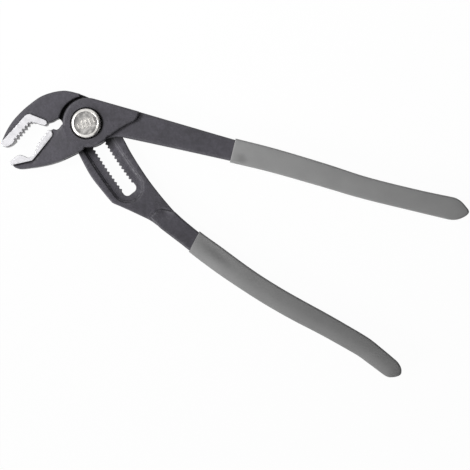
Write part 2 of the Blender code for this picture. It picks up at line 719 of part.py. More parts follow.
def spring_seat(bright):
    inner = SHANK_RADIUS + RUNNING_GAP
    return turned("spring_seat", (
        (inner, SEAT_LOW), (BUTTON_RADIUS, SEAT_LOW), (BUTTON_RADIUS, SEAT_HIGH),
        (inner, SEAT_HIGH),
    ), (bright,))


def spring_path():
    """Centre line of the conical coil, from the seat up to the button."""
    low = SEAT_HIGH + RUNNING_GAP + SPRING_WIRE / 2
    high = BUTTON_UNDERSIDE - RUNNING_GAP - SPRING_WIRE / 2
    steps = round(SPRING_TURNS * SPRING_POINTS_PER_TURN)
    path = []
    for i in range(steps + 1):
        share = i / steps
        radius = SPRING_SMALL_RADIUS + (SPRING_LARGE_RADIUS - SPRING_SMALL_RADIUS) * share
        angle = math.tau * SPRING_TURNS * share
        height = low + (high - low) * share
        path.append(Vector((radius * math.cos(angle), radius * math.sin(angle), height)))
    return path


def least_gap(path, wire):
    """Smallest distance between turns of the wire's surface, measured on its points."""
    apart = SPRING_POINTS_PER_TURN // 2
    distances = [
        (a - b).length for i, a in enumerate(path) for b in path[i + apart :]
    ]
    return min(distances) - wire


def return_spring(bright):
    path = spring_path()
    curve = bpy.data.curves.new("return_spring", "CURVE")
    curve.dimensions = "3D"
    curve.bevel_depth = SPRING_WIRE / 2
    curve.bevel_resolution = 1
    curve.use_fill_caps = True
    spline = curve.splines.new("POLY")
    spline.points.add(len(path) - 1)
    for point, place in zip(spline.points, path):
        point.co = (*place, 1.0)
    curve.materials.append(bright)
    spring = bpy.data.objects.new("return_spring", curve)
    bpy.context.scene.collection.objects.link(spring)
    print(f"return_spring: least gap to itself {least_gap(path, SPRING_WIRE) * 1000:.2f} mm")
    return spring


def axis_empty(name, place, parent=None):
    """An empty on a joint's axis, which carries the pieces that turn about it."""
    empty = bpy.data.objects.new(name, None)
    bpy.context.scene.collection.objects.link(empty)
    empty.location = place
    if parent:
        empty.parent = parent
        empty.location = Vector(place) - parent.location
    return empty


def hang(pieces, axis, axis_place):
    """Parent pieces to a joint's empty with their places kept."""
    for piece in pieces:
        piece.parent = axis
        piece.matrix_parent_inverse = Matrix.Translation(-Vector(axis_place))


def build():
    clear_scene()
    black = steel("blackened_steel", (0.085, 0.083, 0.092), 0.45, 0.7)
    bright = steel("ground_steel", (0.72, 0.71, 0.72), 0.35, 1.0)
    chrome = steel("plated_button", (0.70, 0.69, 0.67), 0.22, 1.0)
    vinyl = steel("grey_vinyl", (0.26, 0.26, 0.26), 0.6, 0.0)

    fixed = slotted_lever(black, bright)
    moving = pivot_lever(black, bright)
    lower_outline = on_track(bar(lower_sleeve(), LOWER_END_SHARES, slant=LOWER_MOUTH_SLANT))
    upper_outline = turned_by(bar(upper_sleeve(), UPPER_END_SHARES), UPPER_HANDLE_HEADING)
    lower_grip = grip("lower_grip", lower_outline, lower_core(), vinyl)
    upper_grip = grip("upper_grip", upper_outline, upper_core(), vinyl)
    bolt = locking_bolt(bright)
    button = push_button(chrome)
    seat = spring_seat(bright)
    spring = return_spring(bright)
    for piece in (fixed, moving, lower_grip, upper_grip, bolt, button, seat):
        shade(piece)

    adjust_place = (*track_centre(), 0.0)
    adjust_axis = axis_empty("jaw_adjust_axis", adjust_place)
    pivot_axis = axis_empty("jaw_pivot_axis", (0.0, 0.0, 0.0), adjust_axis)
    hang((seat, spring, bolt, button), adjust_axis, adjust_place)
    hang((moving, upper_grip), pivot_axis, (0.0, 0.0, 0.0))


if __name__ == "__main__":
    build()
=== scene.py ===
"""Water pump pliers in blackened steel with dipped grips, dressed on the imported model.

Lengths are in metres, in the part's own frame: the origin is on the pivot's axis, level with the
rear cheek, X points towards the handles and Z out of the button.
"""

import math
from collections import namedtuple

import bmesh
import bpy
import numpy as np
from bpy.props import FloatProperty, FloatVectorProperty, PointerProperty
from mathutils import Matrix, Vector, noise
from mathutils.geometry import delaunay_2d_cdt


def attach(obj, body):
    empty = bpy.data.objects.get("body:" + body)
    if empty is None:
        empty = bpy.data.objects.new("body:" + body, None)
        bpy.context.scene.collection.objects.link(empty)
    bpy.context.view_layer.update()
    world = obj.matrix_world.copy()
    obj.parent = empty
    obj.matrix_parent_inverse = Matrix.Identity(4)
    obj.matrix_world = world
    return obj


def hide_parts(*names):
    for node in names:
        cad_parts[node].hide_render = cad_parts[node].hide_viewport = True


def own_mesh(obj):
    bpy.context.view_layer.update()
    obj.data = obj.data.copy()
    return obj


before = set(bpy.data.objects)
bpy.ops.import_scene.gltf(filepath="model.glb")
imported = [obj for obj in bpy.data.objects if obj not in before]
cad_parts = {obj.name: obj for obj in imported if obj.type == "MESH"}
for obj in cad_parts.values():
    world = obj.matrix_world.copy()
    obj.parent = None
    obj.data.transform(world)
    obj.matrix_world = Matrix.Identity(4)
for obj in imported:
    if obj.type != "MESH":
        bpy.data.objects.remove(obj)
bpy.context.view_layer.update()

bl_info = {
    "name": "Water pump pliers",
    "version": (1, 0, 0),
    "blender": (4, 5, 0),
    "location": "View3D > Sidebar > Pliers",
    "description": "Dresses the packed water pump pliers and lights them",
    "category": "Add Mesh",
}

MM = 0.001

# The joint's stack, from the rear face to the button
RUNNING_GAP = 0.0003
REAR_CHEEK_THICKNESS = 0.0038
RAIL_THICKNESS = 0.0058
PANEL_THICKNESS = 0.0024
FRONT_CHEEK_THICKNESS = 0.0050
HANDLE_THICKNESS = 0.0084
JAW_THICKNESS = 0.0120
LAND_THICKNESS = 0.0132
RAIL_LOW = REAR_CHEEK_THICKNESS + RUNNING_GAP
RAIL_HIGH = RAIL_LOW + RAIL_THICKNESS
MIDDLE = (RAIL_LOW + RAIL_HIGH) / 2
CHEEK_INNER_HIGH = RAIL_HIGH + RUNNING_GAP
CHEEK_TOP = CHEEK_INNER_HIGH + FRONT_CHEEK_THICKNESS
JAW_LOW = MIDDLE - JAW_THICKNESS / 2
JAW_HIGH = MIDDLE + JAW_THICKNESS / 2

# The toothed slot runs on an arc through the pivot, centred on the handles' side
TRACK_RADIUS = 0.255
TRACK_HEADING = math.radians(-61.73)
TOOTH_PITCH = 0.00225
TOOTH_FLAT = 0.0003
SLOT_TIP_GAP = 0.0063
SLOT_ROOT_GAP = 0.0079
SLOT_STOPS = 18
SLOT_CORNER_RADIUS = 0.0025
PANEL_MARGIN = 0.0046
PANEL_DRAFT = 0.0009
TRACK_TRAVEL = SLOT_STOPS * TOOTH_PITCH
BOLT_TEETH = 3
MESHING_GAP = 0.0003

# Locking bolt, button, spring and spring seat
BOLT_HEAD_RADIUS = 0.0050
BOLT_CORNER_RADIUS = 0.0009
TENON_RADIUS = 0.0020
TENON_LENGTH = 0.0011
PRESS_TRAVEL = 0.0031
SHANK_RADIUS = SLOT_TIP_GAP / 2 - RUNNING_GAP
BLOCK_THICKNESS = PANEL_THICKNESS + 2 * RUNNING_GAP
BLOCK_LOW = MIDDLE - BLOCK_THICKNESS / 2
BLOCK_HIGH = MIDDLE + BLOCK_THICKNESS / 2
BUTTON_RADIUS = 0.00785
BUTTON_PROUD = 0.0030
BUTTON_WALL = 0.00075
BUTTON_CROWN = 0.0020
DISH_RADIUS = 0.0062
DISH_DEPTH = 0.0006
CHEEK_FLOOR = 0.0007
SEAT_THICKNESS = 0.0005
SPRING_WIRE = 0.0007
SPRING_TURNS = 3.5
SPRING_SMALL_RADIUS = 0.0039
SPRING_LARGE_RADIUS = 0.0065
COUNTERBORE_FLOOR = CHEEK_INNER_HIGH + CHEEK_FLOOR
SEAT_LOW = COUNTERBORE_FLOOR + RUNNING_GAP
SEAT_HIGH = SEAT_LOW + SEAT_THICKNESS
BUTTON_LOW = SEAT_HIGH + RUNNING_GAP + PRESS_TRAVEL
BUTTON_TOP = CHEEK_TOP + BUTTON_PROUD
BUTTON_UNDERSIDE = BUTTON_TOP - BUTTON_CROWN

# Box joint, seen from the button's side
BOSS_RADIUS = 0.0132
BOSS_CENTRE = (0.0006, 0.0005)
HEAD_RADIUS = 0.0137
JAW_STEP_RADIUS = 0.0149
CLOSING_ANGLE = math.radians(10.0)
OPENING_ANGLE = math.radians(27.0)
RAIL_REACH_RIGHT = 0.0140
RAIL_REACH_LEFT = 0.0127
COVER_LEAD = math.radians(14)
BOSS_TOP = math.radians(74)
WINDOW_REACH = 0.045

# Outline scales
JAW_REACH = 0.0456
JAW_RISE = 0.0176
JAW_DROP = 0.0242
LOWER_JAW_REACH = 0.0406
NECK_DISTANCE = 0.060
RAIL_HALF_WIDTH = 0.0120
SHOULDER_DISTANCE = 0.0282
UPPER_HANDLE_HEADING = math.radians(-13.0)
UPPER_HANDLE_LENGTH = 0.2044
UPPER_HANDLE_OFFSET = 0.0045
LOWER_HANDLE_LENGTH = 0.2143
LOWER_HANDLE_OFFSET = 0.0083
HANDLE_WIDTH = 0.0114
GRIP_WIDTH = 0.0122
GRIP_WALL = 0.0008
GRIP_FACE_WALL = 0.0009
UPPER_TOOTH_DEPTH = 0.0009
LOWER_TOOTH_DEPTH = 0.0004
UPPER_JAW_TEETH = 6
LOWER_JAW_TEETH = 7
LOWER_MOUTH_SLANT = 0.19

# Upper jaw, as shares of the jaw's reach along X and of its rise along Y
JAW_BACK_SHARES = (
    (-0.075, 0.905), (-0.120, 0.935), (-0.193, 0.980), (-0.274, 1.0), (-0.405, 0.946),
    (-0.543, 0.810), (-0.667, 0.580), (-0.768, 0.350), (-0.866, 0.068), (-0.940, -0.240),
    (-0.994, -0.550),
)
JAW_INSIDE_SHARES = (
    (-0.956, -0.655), (-0.864, -0.495), (-0.671, 0.097), (-0.620, 0.125), (-0.504, 0.051),
    (-0.458, 0.020), (-0.397, 0.068), (-0.357, 0.134), (-0.322, 0.165),
)
NECK_COVER_SHARES = (
    (-0.022, 0.852), (-0.070, 0.896), (-0.175, 0.886), (-0.351, 0.568), (-0.373, 0.227),
    (-0.312, 0.134), (-0.296, 0.088), (-0.284, 0.036), (-0.276, -0.030),
)
UPPER_NOSE_SHARES = (
    (-1.004, -0.590), (-1.0, -0.625), (-0.978, -0.688), (-0.947, -0.710), (-0.910, -0.688),
    (-0.873, -0.636),
)
UPPER_TEETH_SHARES = ((-0.838, -0.557), (-0.649, 0.011))
UPPER_THROAT_SHARES = (
    (-0.640, 0.043), (-0.623, 0.020), (-0.601, 0.026), (-0.544, -0.026), (-0.487, -0.063),
    (-0.465, -0.034), (-0.458, 0.017), (-0.469, 0.085), (-0.496, 0.122), (-0.636, 0.267),
    (-0.662, 0.293), (-0.693, 0.278), (-0.721, 0.233),
)

# Lower jaw, as shares of the lower jaw's reach along X and of its drop along Y
LOWER_TIP_SHARES = ((-0.438, -0.240), (-0.443, -0.205), (-0.451, -0.174), (-0.468, -0.149),
                    (-0.490, -0.147))
LOWER_TEETH_SHARES = ((-0.500, -0.157), (-0.586, -0.326), (-0.631, -0.442), (-0.658, -0.554),
                      (-0.690, -0.674))
LOWER_NOSE_SHARES = (
    (-0.709, -0.723), (-0.744, -0.756), (-0.783, -0.750), (-0.833, -0.705), (-0.867, -0.696),
    (-0.901, -0.711), (-0.951, -0.769), (-1.0, -0.847), (-1.007, -0.880), (-0.993, -0.913),
    (-0.966, -0.917), (-0.712, -0.822), (-0.695, -0.802), (-0.446, -0.285),
)
LOWER_BODY_TOP_SHARES = (
    (-0.222, -0.020), (-0.300, -0.018), (-0.322, -0.029), (-0.337, -0.069), (-0.360, -0.115),
    (-0.389, -0.143), (-0.429, -0.122), (-0.453, -0.140), (-0.478, -0.207), (-0.606, -0.496),
    (-0.665, -0.744), (-0.739, -0.814), (-0.837, -0.773), (-0.946, -0.851), (-0.968, -0.909),
)
LOWER_BODY_BELOW_SHARES = (
    (-0.958, -0.946), (-0.924, -0.983), (-0.869, -1.0), (-0.744, -0.979), (-0.611, -0.946),
    (-0.480, -0.899), (-0.347, -0.826), (-0.217, -0.727), (-0.115, -0.640), (-0.037, -0.566),
    (0.0, -0.413),
)

# Shoulder between the cheeks and the upper handle, as shares of its distance from the pivot
SHOULDER_SHARES = (
    (0.436, -0.230), (0.482, -0.206), (0.638, -0.096), (0.791, -0.007), (0.904, 0.043),
    (0.957, 0.092), (0.989, 0.156), (1.0, 0.226),
)

# Edges of the rail in the slot's own frame: shares of the neck's distance and the half width
RAIL_RIGHT_SHARES = (
    (1.233, 0.925), (1.133, 0.890), (1.0, 0.900), (0.767, 0.933), (0.600, 0.975), (0.423, 1.025),
    (0.267, 1.085), (0.055, 1.108),
)
RAIL_LEFT_SHARES = (
    (-0.075, -0.962), (0.183, -0.975), (0.400, -1.050), (0.550, -1.017), (0.675, -0.979),
    (0.710, -0.945), (0.765, -0.790), (0.850, -0.570), (0.938, -0.365), (1.030, -0.175),
    (1.133, -0.067), (1.233, -0.010),
)

# Where each handle leaves its forging, as shares of the shoulder's or the neck's distance
UPPER_ROOT_SHARES = (
    (0.248, 0.284), (0.248, -0.213), (0.340, -0.309), (0.400, -0.234), (0.457, -0.181),
    (0.539, -0.140), (0.624, -0.113),
)
LOWER_ROOT_SHARES = (
    (1.067, 0.142), (1.017, 0.100), (0.999, 0.053), (0.999, 0.008), (1.010, -0.022),
)

# Handles and grips: shares of the handle's length, its offset and its width
UPPER_STEEL_SHARES = (
    (0.098, 1.127, 1.351), (0.120, 1.122, 1.333), (0.254, 0.989, 1.158), (0.386, 0.844, 1.005),
)
UPPER_GRIP_SHARES = (
    (0.389, 0.838, 1.060), (0.499, 0.756, 1.033), (0.636, 0.400, 1.0), (0.748, 0.033, 0.951),
    (0.881, -0.067, 0.943), (0.983, -0.044, 0.984),
)
LOWER_STEEL_SHARES = (
    (0.051, 0.590, 1.030), (0.097, 0.675, 0.978), (0.140, 0.753, 0.952), (0.168, 0.790, 0.950),
)
LOWER_GRIP_SHARES = (
    (0.173, 0.800, 1.000), (0.279, 0.925, 1.035), (0.421, 0.970, 0.985), (0.615, 0.930, 0.975),
    (0.743, 0.790, 0.940), (0.868, 0.410, 0.915), (0.933, 0.000, 0.885), (0.991, -0.470, 0.836),
)
UPPER_END_SHARES = (
    (0.45, -0.94), (0.80, -0.80), (1.12, -0.58), (1.38, -0.34), (1.54, -0.06), (1.47, 0.18),
    (1.22, 0.40), (0.95, 0.61), (0.65, 0.80), (0.33, 0.93),
)
LOWER_END_SHARES = (
    (0.30, -0.97), (0.60, -0.86), (0.90, -0.62), (1.14, -0.36), (1.32, -0.06), (1.33, 0.20),
    (1.12, 0.52), (0.88, 0.72), (0.60, 0.86), (0.30, 0.96),
)

# The key lamp's place from the view's centre, the spot's place and aim, and the dark card's
# length and felt
KEY_PLACE = (-0.68, -0.42, 0.52)
TOP_PLACE = (-0.46, 0.08, 0.74)
TOP_AIM = (0.04, 0.165, 0.0)
FLAG_LENGTH = 1.2
FELT_MARKS = (0.004, 2.0)
FELT_DARK = (0.015, 0.015, 0.015)
FELT_PALE = (0.03, 0.03, 0.03)

# What the camera and the reflections see behind the tool
WHITE = (1.0, 1.0, 1.0)

# Painted shade: how dark it is beside the boss, in a dent and in the button's dish
STEP_PAINTED_SHADE = 0.45
DENT_PAINTED_SHADE = 0.30
DISH_PAINTED_SHADE = 0.55

# How far the painted shade reaches from the rim of a cheek that lies over the forging, from how
# far below the jaws' faces, and the darkness and reach of the button's painted shadow by its bore
OVER_REACH = 0.0090
OVER_DEPTH = 0.0008
BORE_PAINTED_SHADOW = 0.9
BORE_REACH = 0.0011

# How far in from a forging's outline the painted shade starts, its reach from a low step, which
# is also the drop that fills it, and how much a deeper drop adds to that reach
PAINTED_SHADE_INSET = 0.0004
PAINTED_SHADE_BASE = 0.0007
PAINTED_SHADE_SPREAD = 0.4

# Trench between the upper jaw and the boss, as angles round the pivot
TRENCH_START = math.radians(103)
TRENCH_END = math.radians(172)
TRENCH_COVER = 0.0010

# Ribs in the button's dish: how many on each side, their band's turn, how much shorter the
# outer ones are, and their section as shares of half their width and of their height
RIBS_ASIDE = 2
RIBS_TURN = math.radians(24)
RIB_TAPER = 0.35
RIB_LEVELS = ((1.0, -0.5), (1.0, 0.0), (0.85, 0.6), (0.5, 1.0))

# Hollow behind the lower handle's root, placed along and across the slot's line
HOLLOW_PLACE = (0.0635, 0.0063)
HOLLOW_LENGTH = 0.0062
HOLLOW_WIDTH = 0.0026
HOLLOW_HEADING = math.radians(-18)
HOLLOW_DEPTH = 0.0008

# Tooth of a jaw: shares of its pitch, and of its depth there
TOOTH_STEPS = ((0.0, 0.0), (0.2, 0.0), (0.5, 1.0), (0.7, 1.0))

# Where the forged waves on each face are read in their noise, and the turn of a bare edge
FRONT_WAVES = 1.5
REAR_WAVES = 7.5
BARE_TURN = math.radians(60)

# How finely shapes are divided
CURVE_STEPS = 8
BAR_STEPS = 12
ARC_STEP = math.radians(2.5)
TURNED_STEPS = 96
WIRE_SIDES = 12
SPRING_POINTS_PER_TURN = 40

# Places of the cuts across a rounded edge and a sleeve's roll, and round a bore, as shares of
# the radius and of the fine step
QUARTER_SHARES = (0.076, 0.293, 0.617, 1.0)
ROLL_SHARES = (0.034, 0.134, 0.293, 0.5, 0.741, 1.0)
BORE_RING_SHARES = (0.0, 0.15, 0.6, 1.6, 3.0)

# Reach of the fine division round the pivot, and the turn from which an edge stays sharp
HEAD_ZONE = 0.075
SHARP_ANGLE = math.radians(38)

# How far a forged wall leans, how close points become one, the share of its distance that a
# ring's point has to keep, and how clear of the outlines loose points stay
WALL_RUN = 0.00012
MERGE_MM = 0.002
LEAST_RING_SHARE = 0.7
CLEAR_OF_LINES = 0.00005

# Width of the bare band beside the upper jaw's teeth
TEETH_BAND = 0.0009

# Least spread of a corner that is moved out, and a length too small to divide by
LEAST_SPREAD = 0.4
TINY = 1e-18

# Every how many of an arc's points are kept on the button's rim, its dish and a rib's ends
RIM_SKIP = 2
DISH_SKIP = 4
RIB_SKIP = 6

# Marks in the finishes: the size of their patches and how much detail is in them
OXIDE_CLOUDS = (0.011, 3.0)
OXIDE_PATCHES = (0.0028, 4.0)
OXIDE_FLECKS = (0.0013, 3.0)
OXIDE_PITS = (0.0012, 5.0)
OXIDE_GRAIN = (0.00045, 3.0)
GROUND_CLOUDS = (0.0035, 2.0)
GROUND_MARKS = (0.00022, 3.0)
CUT_STAINS = (0.0016, 3.0)
CUT_STROKES = (0.00018, 3.0)
TURNED_HAZE = (0.0016, 4.0)
DISH_STAINS = (0.0021, 3.0)
WIRE_LINES = (0.00012, 3.0)
WIRE_HAZE = (0.0011, 3.0)
VINYL_SAGS = (0.014, 2.0)
VINYL_SKIN = (0.0008, 4.0)
VINYL_PORES = (0.00028, 2.0)
FLOOR_WEAVE = (0.004, 3.0)

# The part of a noise's range that shows, and the shares that it is brought to
WHOLE = (0.0, 1.0)
NOISE_SPAN = (0.3, 0.7)
CLOUD_SPAN = (0.35, 0.68)
PATCH_SPAN, PATCH_SHARES = (0.38, 0.62), (0.0, 0.5)
FLECK_SPAN, FLECK_SHARES = (0.40, 0.62), (0.0, 0.5)
WEAR_SPAN, WEAR_SHARES = (0.12, 0.75), (0.0, 0.6)
PIT_SPAN, PIT_SHARES = (0.38, 0.60), (0.35, 1.0)
# Range of the painted shade that shows, and how far it darkens the oxide
PAINTED_SHADE_SPAN, PAINTED_SHADE_SHARES = (0.2, 0.8), (0.0, 0.9)
MARK_SHARES = (0.80, 1.0)
STAIN_SPAN = (0.36, 0.62)
HAZE_SPAN = (0.35, 0.65)
DISH_SPAN, DISH_SHARES = (0.38, 0.60), (0.45, 1.0)
SAG_SHARES = (0.0, 0.6)
SKIN_SPAN, SKIN_SHARES = (0.35, 0.75), (0.0, 0.3)

# Shares of a finish's colour that its paler or duller patches have
PALE_OXIDE = 1.10
DULL_GROUND = 0.88
STAINED_CUT = 0.6
DULL_TURNED = 0.86
DULL_WIRE = 0.8
# Share of the handled vinyl's colour that the painted shade in a pressed hollow keeps
PRESSED_SHADE_VINYL = 0.78
WOVEN_FLOOR = 0.97

# Roughness of each finish, or how far it spreads either side of its own
OXIDE_SPREAD = (-0.06, 0.08)
GROUND_ROUGHNESS = (0.34, 0.46)
CUT_ROUGHNESS = (0.45, 0.60)
BOLT_ROUGHNESS = 0.34
PLATED_ROUGHNESS = 0.22
TURNED_SPREAD = (-0.04, 0.06)
WIRE_ROUGHNESS = (0.28, 0.42)
VINYL_SPREAD = (-0.05, 0.06)
FLOOR_ROUGHNESS = 0.9

# Reflections of steel under painted shade, of vinyl and of the floor, and how much of the cut
# sides is bare metal
PAINTED_SHADE_SHINE = 0.04
VINYL_SHINE = 0.35
FLOOR_SHINE = 0.1
CUT_METAL = 0.6

# Depths of the marks, in metres
OXIDE_DEPTH = 0.00006
GRAIN_DEPTH = 0.00001
GROUND_DEPTH = 0.00002
GRINDING_DEPTH = 0.000006
STAIN_DEPTH = 0.00003
STROKE_DEPTH = 0.00001
HAZE_DEPTH = 0.00001
BOLT_MARKS = 0.000004
PLATED_MARKS = 0.000002
LINE_DEPTH = 0.000004
SAG_DEPTH = 0.0001
SKIN_DEPTH = 0.00002
PORE_DEPTH = 0.000008

# How marks are drawn out along X, Y and Z, and how far the grinding belt's are turned
GROUND_STRETCH = (1.0, 0.05, 1.0)
GROUND_TURN = 0.9
CUT_STRETCH = (1.0, 1.0, 0.08)
WIRE_STRETCH = (0.2, 0.2, 1.0)

# The lathe's rings: how close they are, how far they wander and their detail
LATHE_RINGS = {"Scale": 900.0, "Distortion": 1.5, "Detail": 2.0, "Detail_Scale": 1.0}

# The Mix node's sockets for two colours
MIX_SHARE, MIX_FIRST, MIX_SECOND, MIX_COLOUR = 0, 6, 7, 2

# A forging's materials, in the order of their slots
BLACK_SLOT, GROUND_SLOT, CUT_SLOT = range(3)

# Parts of a forging. Low and high are a shape's two faces, edge and rear_edge round them, foot is
# the fillet below a step and run is how far a recess's wall leans. Teeth are a plate's toothed
# line, a plate that rises climbs to the boss, a ground one is bare, and soot is how dark
# the forging is painted beside it, in place of the shade there.
Plate = namedtuple(
    "Plate", "outline low high edge rear_edge foot teeth rises ground soot",
    defaults=(None, False, False, 1.0),
)
Recess = namedtuple("Recess", "outline low high edge foot run")
Dent = namedtuple("Dent", "centre length width heading depth")

# Presses behind the sleeves' mouths, where the vinyl has sunk
UPPER_PRESS = Dent((0.0835, -0.0187), 0.0050, 0.0033, math.radians(-25), 0.00034)
LOWER_PRESS = Dent((0.0700, -0.0700), 0.0150, 0.0034, math.radians(-40), 0.00034)


class PliersSizes(bpy.types.PropertyGroup):
    """Edge breaks and fine detail, over the shapes that the part fixes."""

    cheek_edge: FloatProperty(
        name="Boss edge", description="Rounding of the front cheek's rim",
        default=0.0011, min=0.0, unit="LENGTH",
    )
    cheek_rear_edge: FloatProperty(
        name="Rear cheek edge", description="Rounding of the rear cheek's rim",
        default=0.0006, min=0.0, unit="LENGTH",
    )
    jaw_edge: FloatProperty(
        name="Jaw edge", description="Rounding along the jaws",
        default=0.0008, min=0.0, unit="LENGTH",
    )
    land_edge: FloatProperty(
        name="Land edge", description="Rounding of the ground faces",
        default=0.00022, min=0.0, unit="LENGTH",
    )
    rail_edge: FloatProperty(
        name="Rail edge", description="Rounding along the rail",
        default=0.0007, min=0.0, unit="LENGTH",
    )
    handle_edge: FloatProperty(
        name="Handle edge", description="Rounding along the bare handles",
        default=0.0012, min=0.0, unit="LENGTH",
    )
    foot: FloatProperty(
        name="Fillet", description="Fillet at the foot of each forged step",
        default=0.0010, min=0.0, unit="LENGTH",
    )
    jaw_run: FloatProperty(
        name="Jaw run", description="Distance over which the lower jaw's faces rise to the boss",
        default=0.0290, min=0.001, unit="LENGTH",
    )
    tooth_edge: FloatProperty(
        name="Tooth edge", description="Rounding along the jaws' teeth",
        default=0.0005, min=0.0, unit="LENGTH",
    )
    trench_depth: FloatProperty(
        name="Trench depth", description="Depth of the trench between the upper jaw and the boss",
        default=0.0015, min=0.0, unit="LENGTH",
    )
    recess_edge: FloatProperty(
        name="Recess rim", description="Rounding of the recess round the slot",
        default=0.00055, min=0.0, unit="LENGTH",
    )
    bore_edge: FloatProperty(
        name="Bore rim", description="Rounding of the bores for the button and the bolt",
        default=0.00030, min=0.0, unit="LENGTH",
    )
    bore_flare: FloatProperty(
        name="Bore flare", description="How far the button's bore opens out towards its rim",
        default=0.00040, min=0.0, unit="LENGTH",
    )
    bore_flare_depth: FloatProperty(
        name="Bore flare depth", description="Depth of the flare round the button",
        default=0.0018, min=0.0, unit="LENGTH",
    )
    slot_edge: FloatProperty(
        name="Slot edge", description="Rounding of the slot's teeth",
        default=0.00018, min=0.0, unit="LENGTH",
    )
    waviness: FloatProperty(
        name="Waviness", description="Height of the forged faces' slow waves",
        default=0.00003, min=0.0, unit="LENGTH",
    )
    wave_length: FloatProperty(
        name="Wave length", description="Distance between the forged faces' waves",
        default=0.009, min=0.001, unit="LENGTH",
    )
    grip_roll: FloatProperty(
        name="Grip rounding", description="Rounding along the sleeves",
        default=0.0010, min=0.0, unit="LENGTH",
    )
    grip_crown: FloatProperty(
        name="Grip crown", description="How far a sleeve's face sinks towards its edges",
        default=0.0003, min=0.0, unit="LENGTH",
    )
    grip_flank: FloatProperty(
        name="Grip flank", description="Width of the lower sleeve's leaning outer flank",
        default=0.0060, min=0.001, unit="LENGTH",
    )
    grip_lean: FloatProperty(
        name="Grip lean", description="How far the lower sleeve's flank sinks",
        default=0.0018, min=0.0, unit="LENGTH",
    )
    grip_lip: FloatProperty(
        name="Grip lip", description="Rounding of the sleeve's mouth",
        default=0.0004, min=0.0, unit="LENGTH",
    )
    grip_cling: FloatProperty(
        name="Grip cling", description="Space between a sleeve and its handle",
        default=0.00004, min=0.0, unit="LENGTH",
    )
    button_edge: FloatProperty(
        name="Button edge", description="Rounding of the button's rim",
        default=0.0013, min=0.0, unit="LENGTH",
    )
    button_lip: FloatProperty(
        name="Button lip", description="Rounding of the dish's rim and foot",
        default=0.00018, min=0.0, unit="LENGTH",
    )
    rib_pitch: FloatProperty(
        name="Rib pitch", description="Distance between the button's raised ribs",
        default=0.00215, min=0.0005, unit="LENGTH",
    )
    rib_width: FloatProperty(
        name="Rib width", description="Width of a raised rib",
        default=0.00110, min=0.0001, unit="LENGTH",
    )
    rib_length: FloatProperty(
        name="Rib length", description="Length of the middle ribs",
        default=0.0054, min=0.0001, unit="LENGTH",
    )
    rib_height: FloatProperty(
        name="Rib height", description="How far a rib stands out of the dish",
        default=0.00040, min=0.0, unit="LENGTH",
    )
    fine_step: FloatProperty(
        name="Fine step", description="Longest side of an outline near the joint",
        default=0.00045, min=0.0001, unit="LENGTH",
    )
    coarse_step: FloatProperty(
        name="Coarse step", description="Longest side of an outline on the handles",
        default=0.0012, min=0.0001, unit="LENGTH",
    )
    grid_step: FloatProperty(
        name="Grid step", description="Distance between points on open faces",
        default=0.0020, min=0.0005, unit="LENGTH",
    )


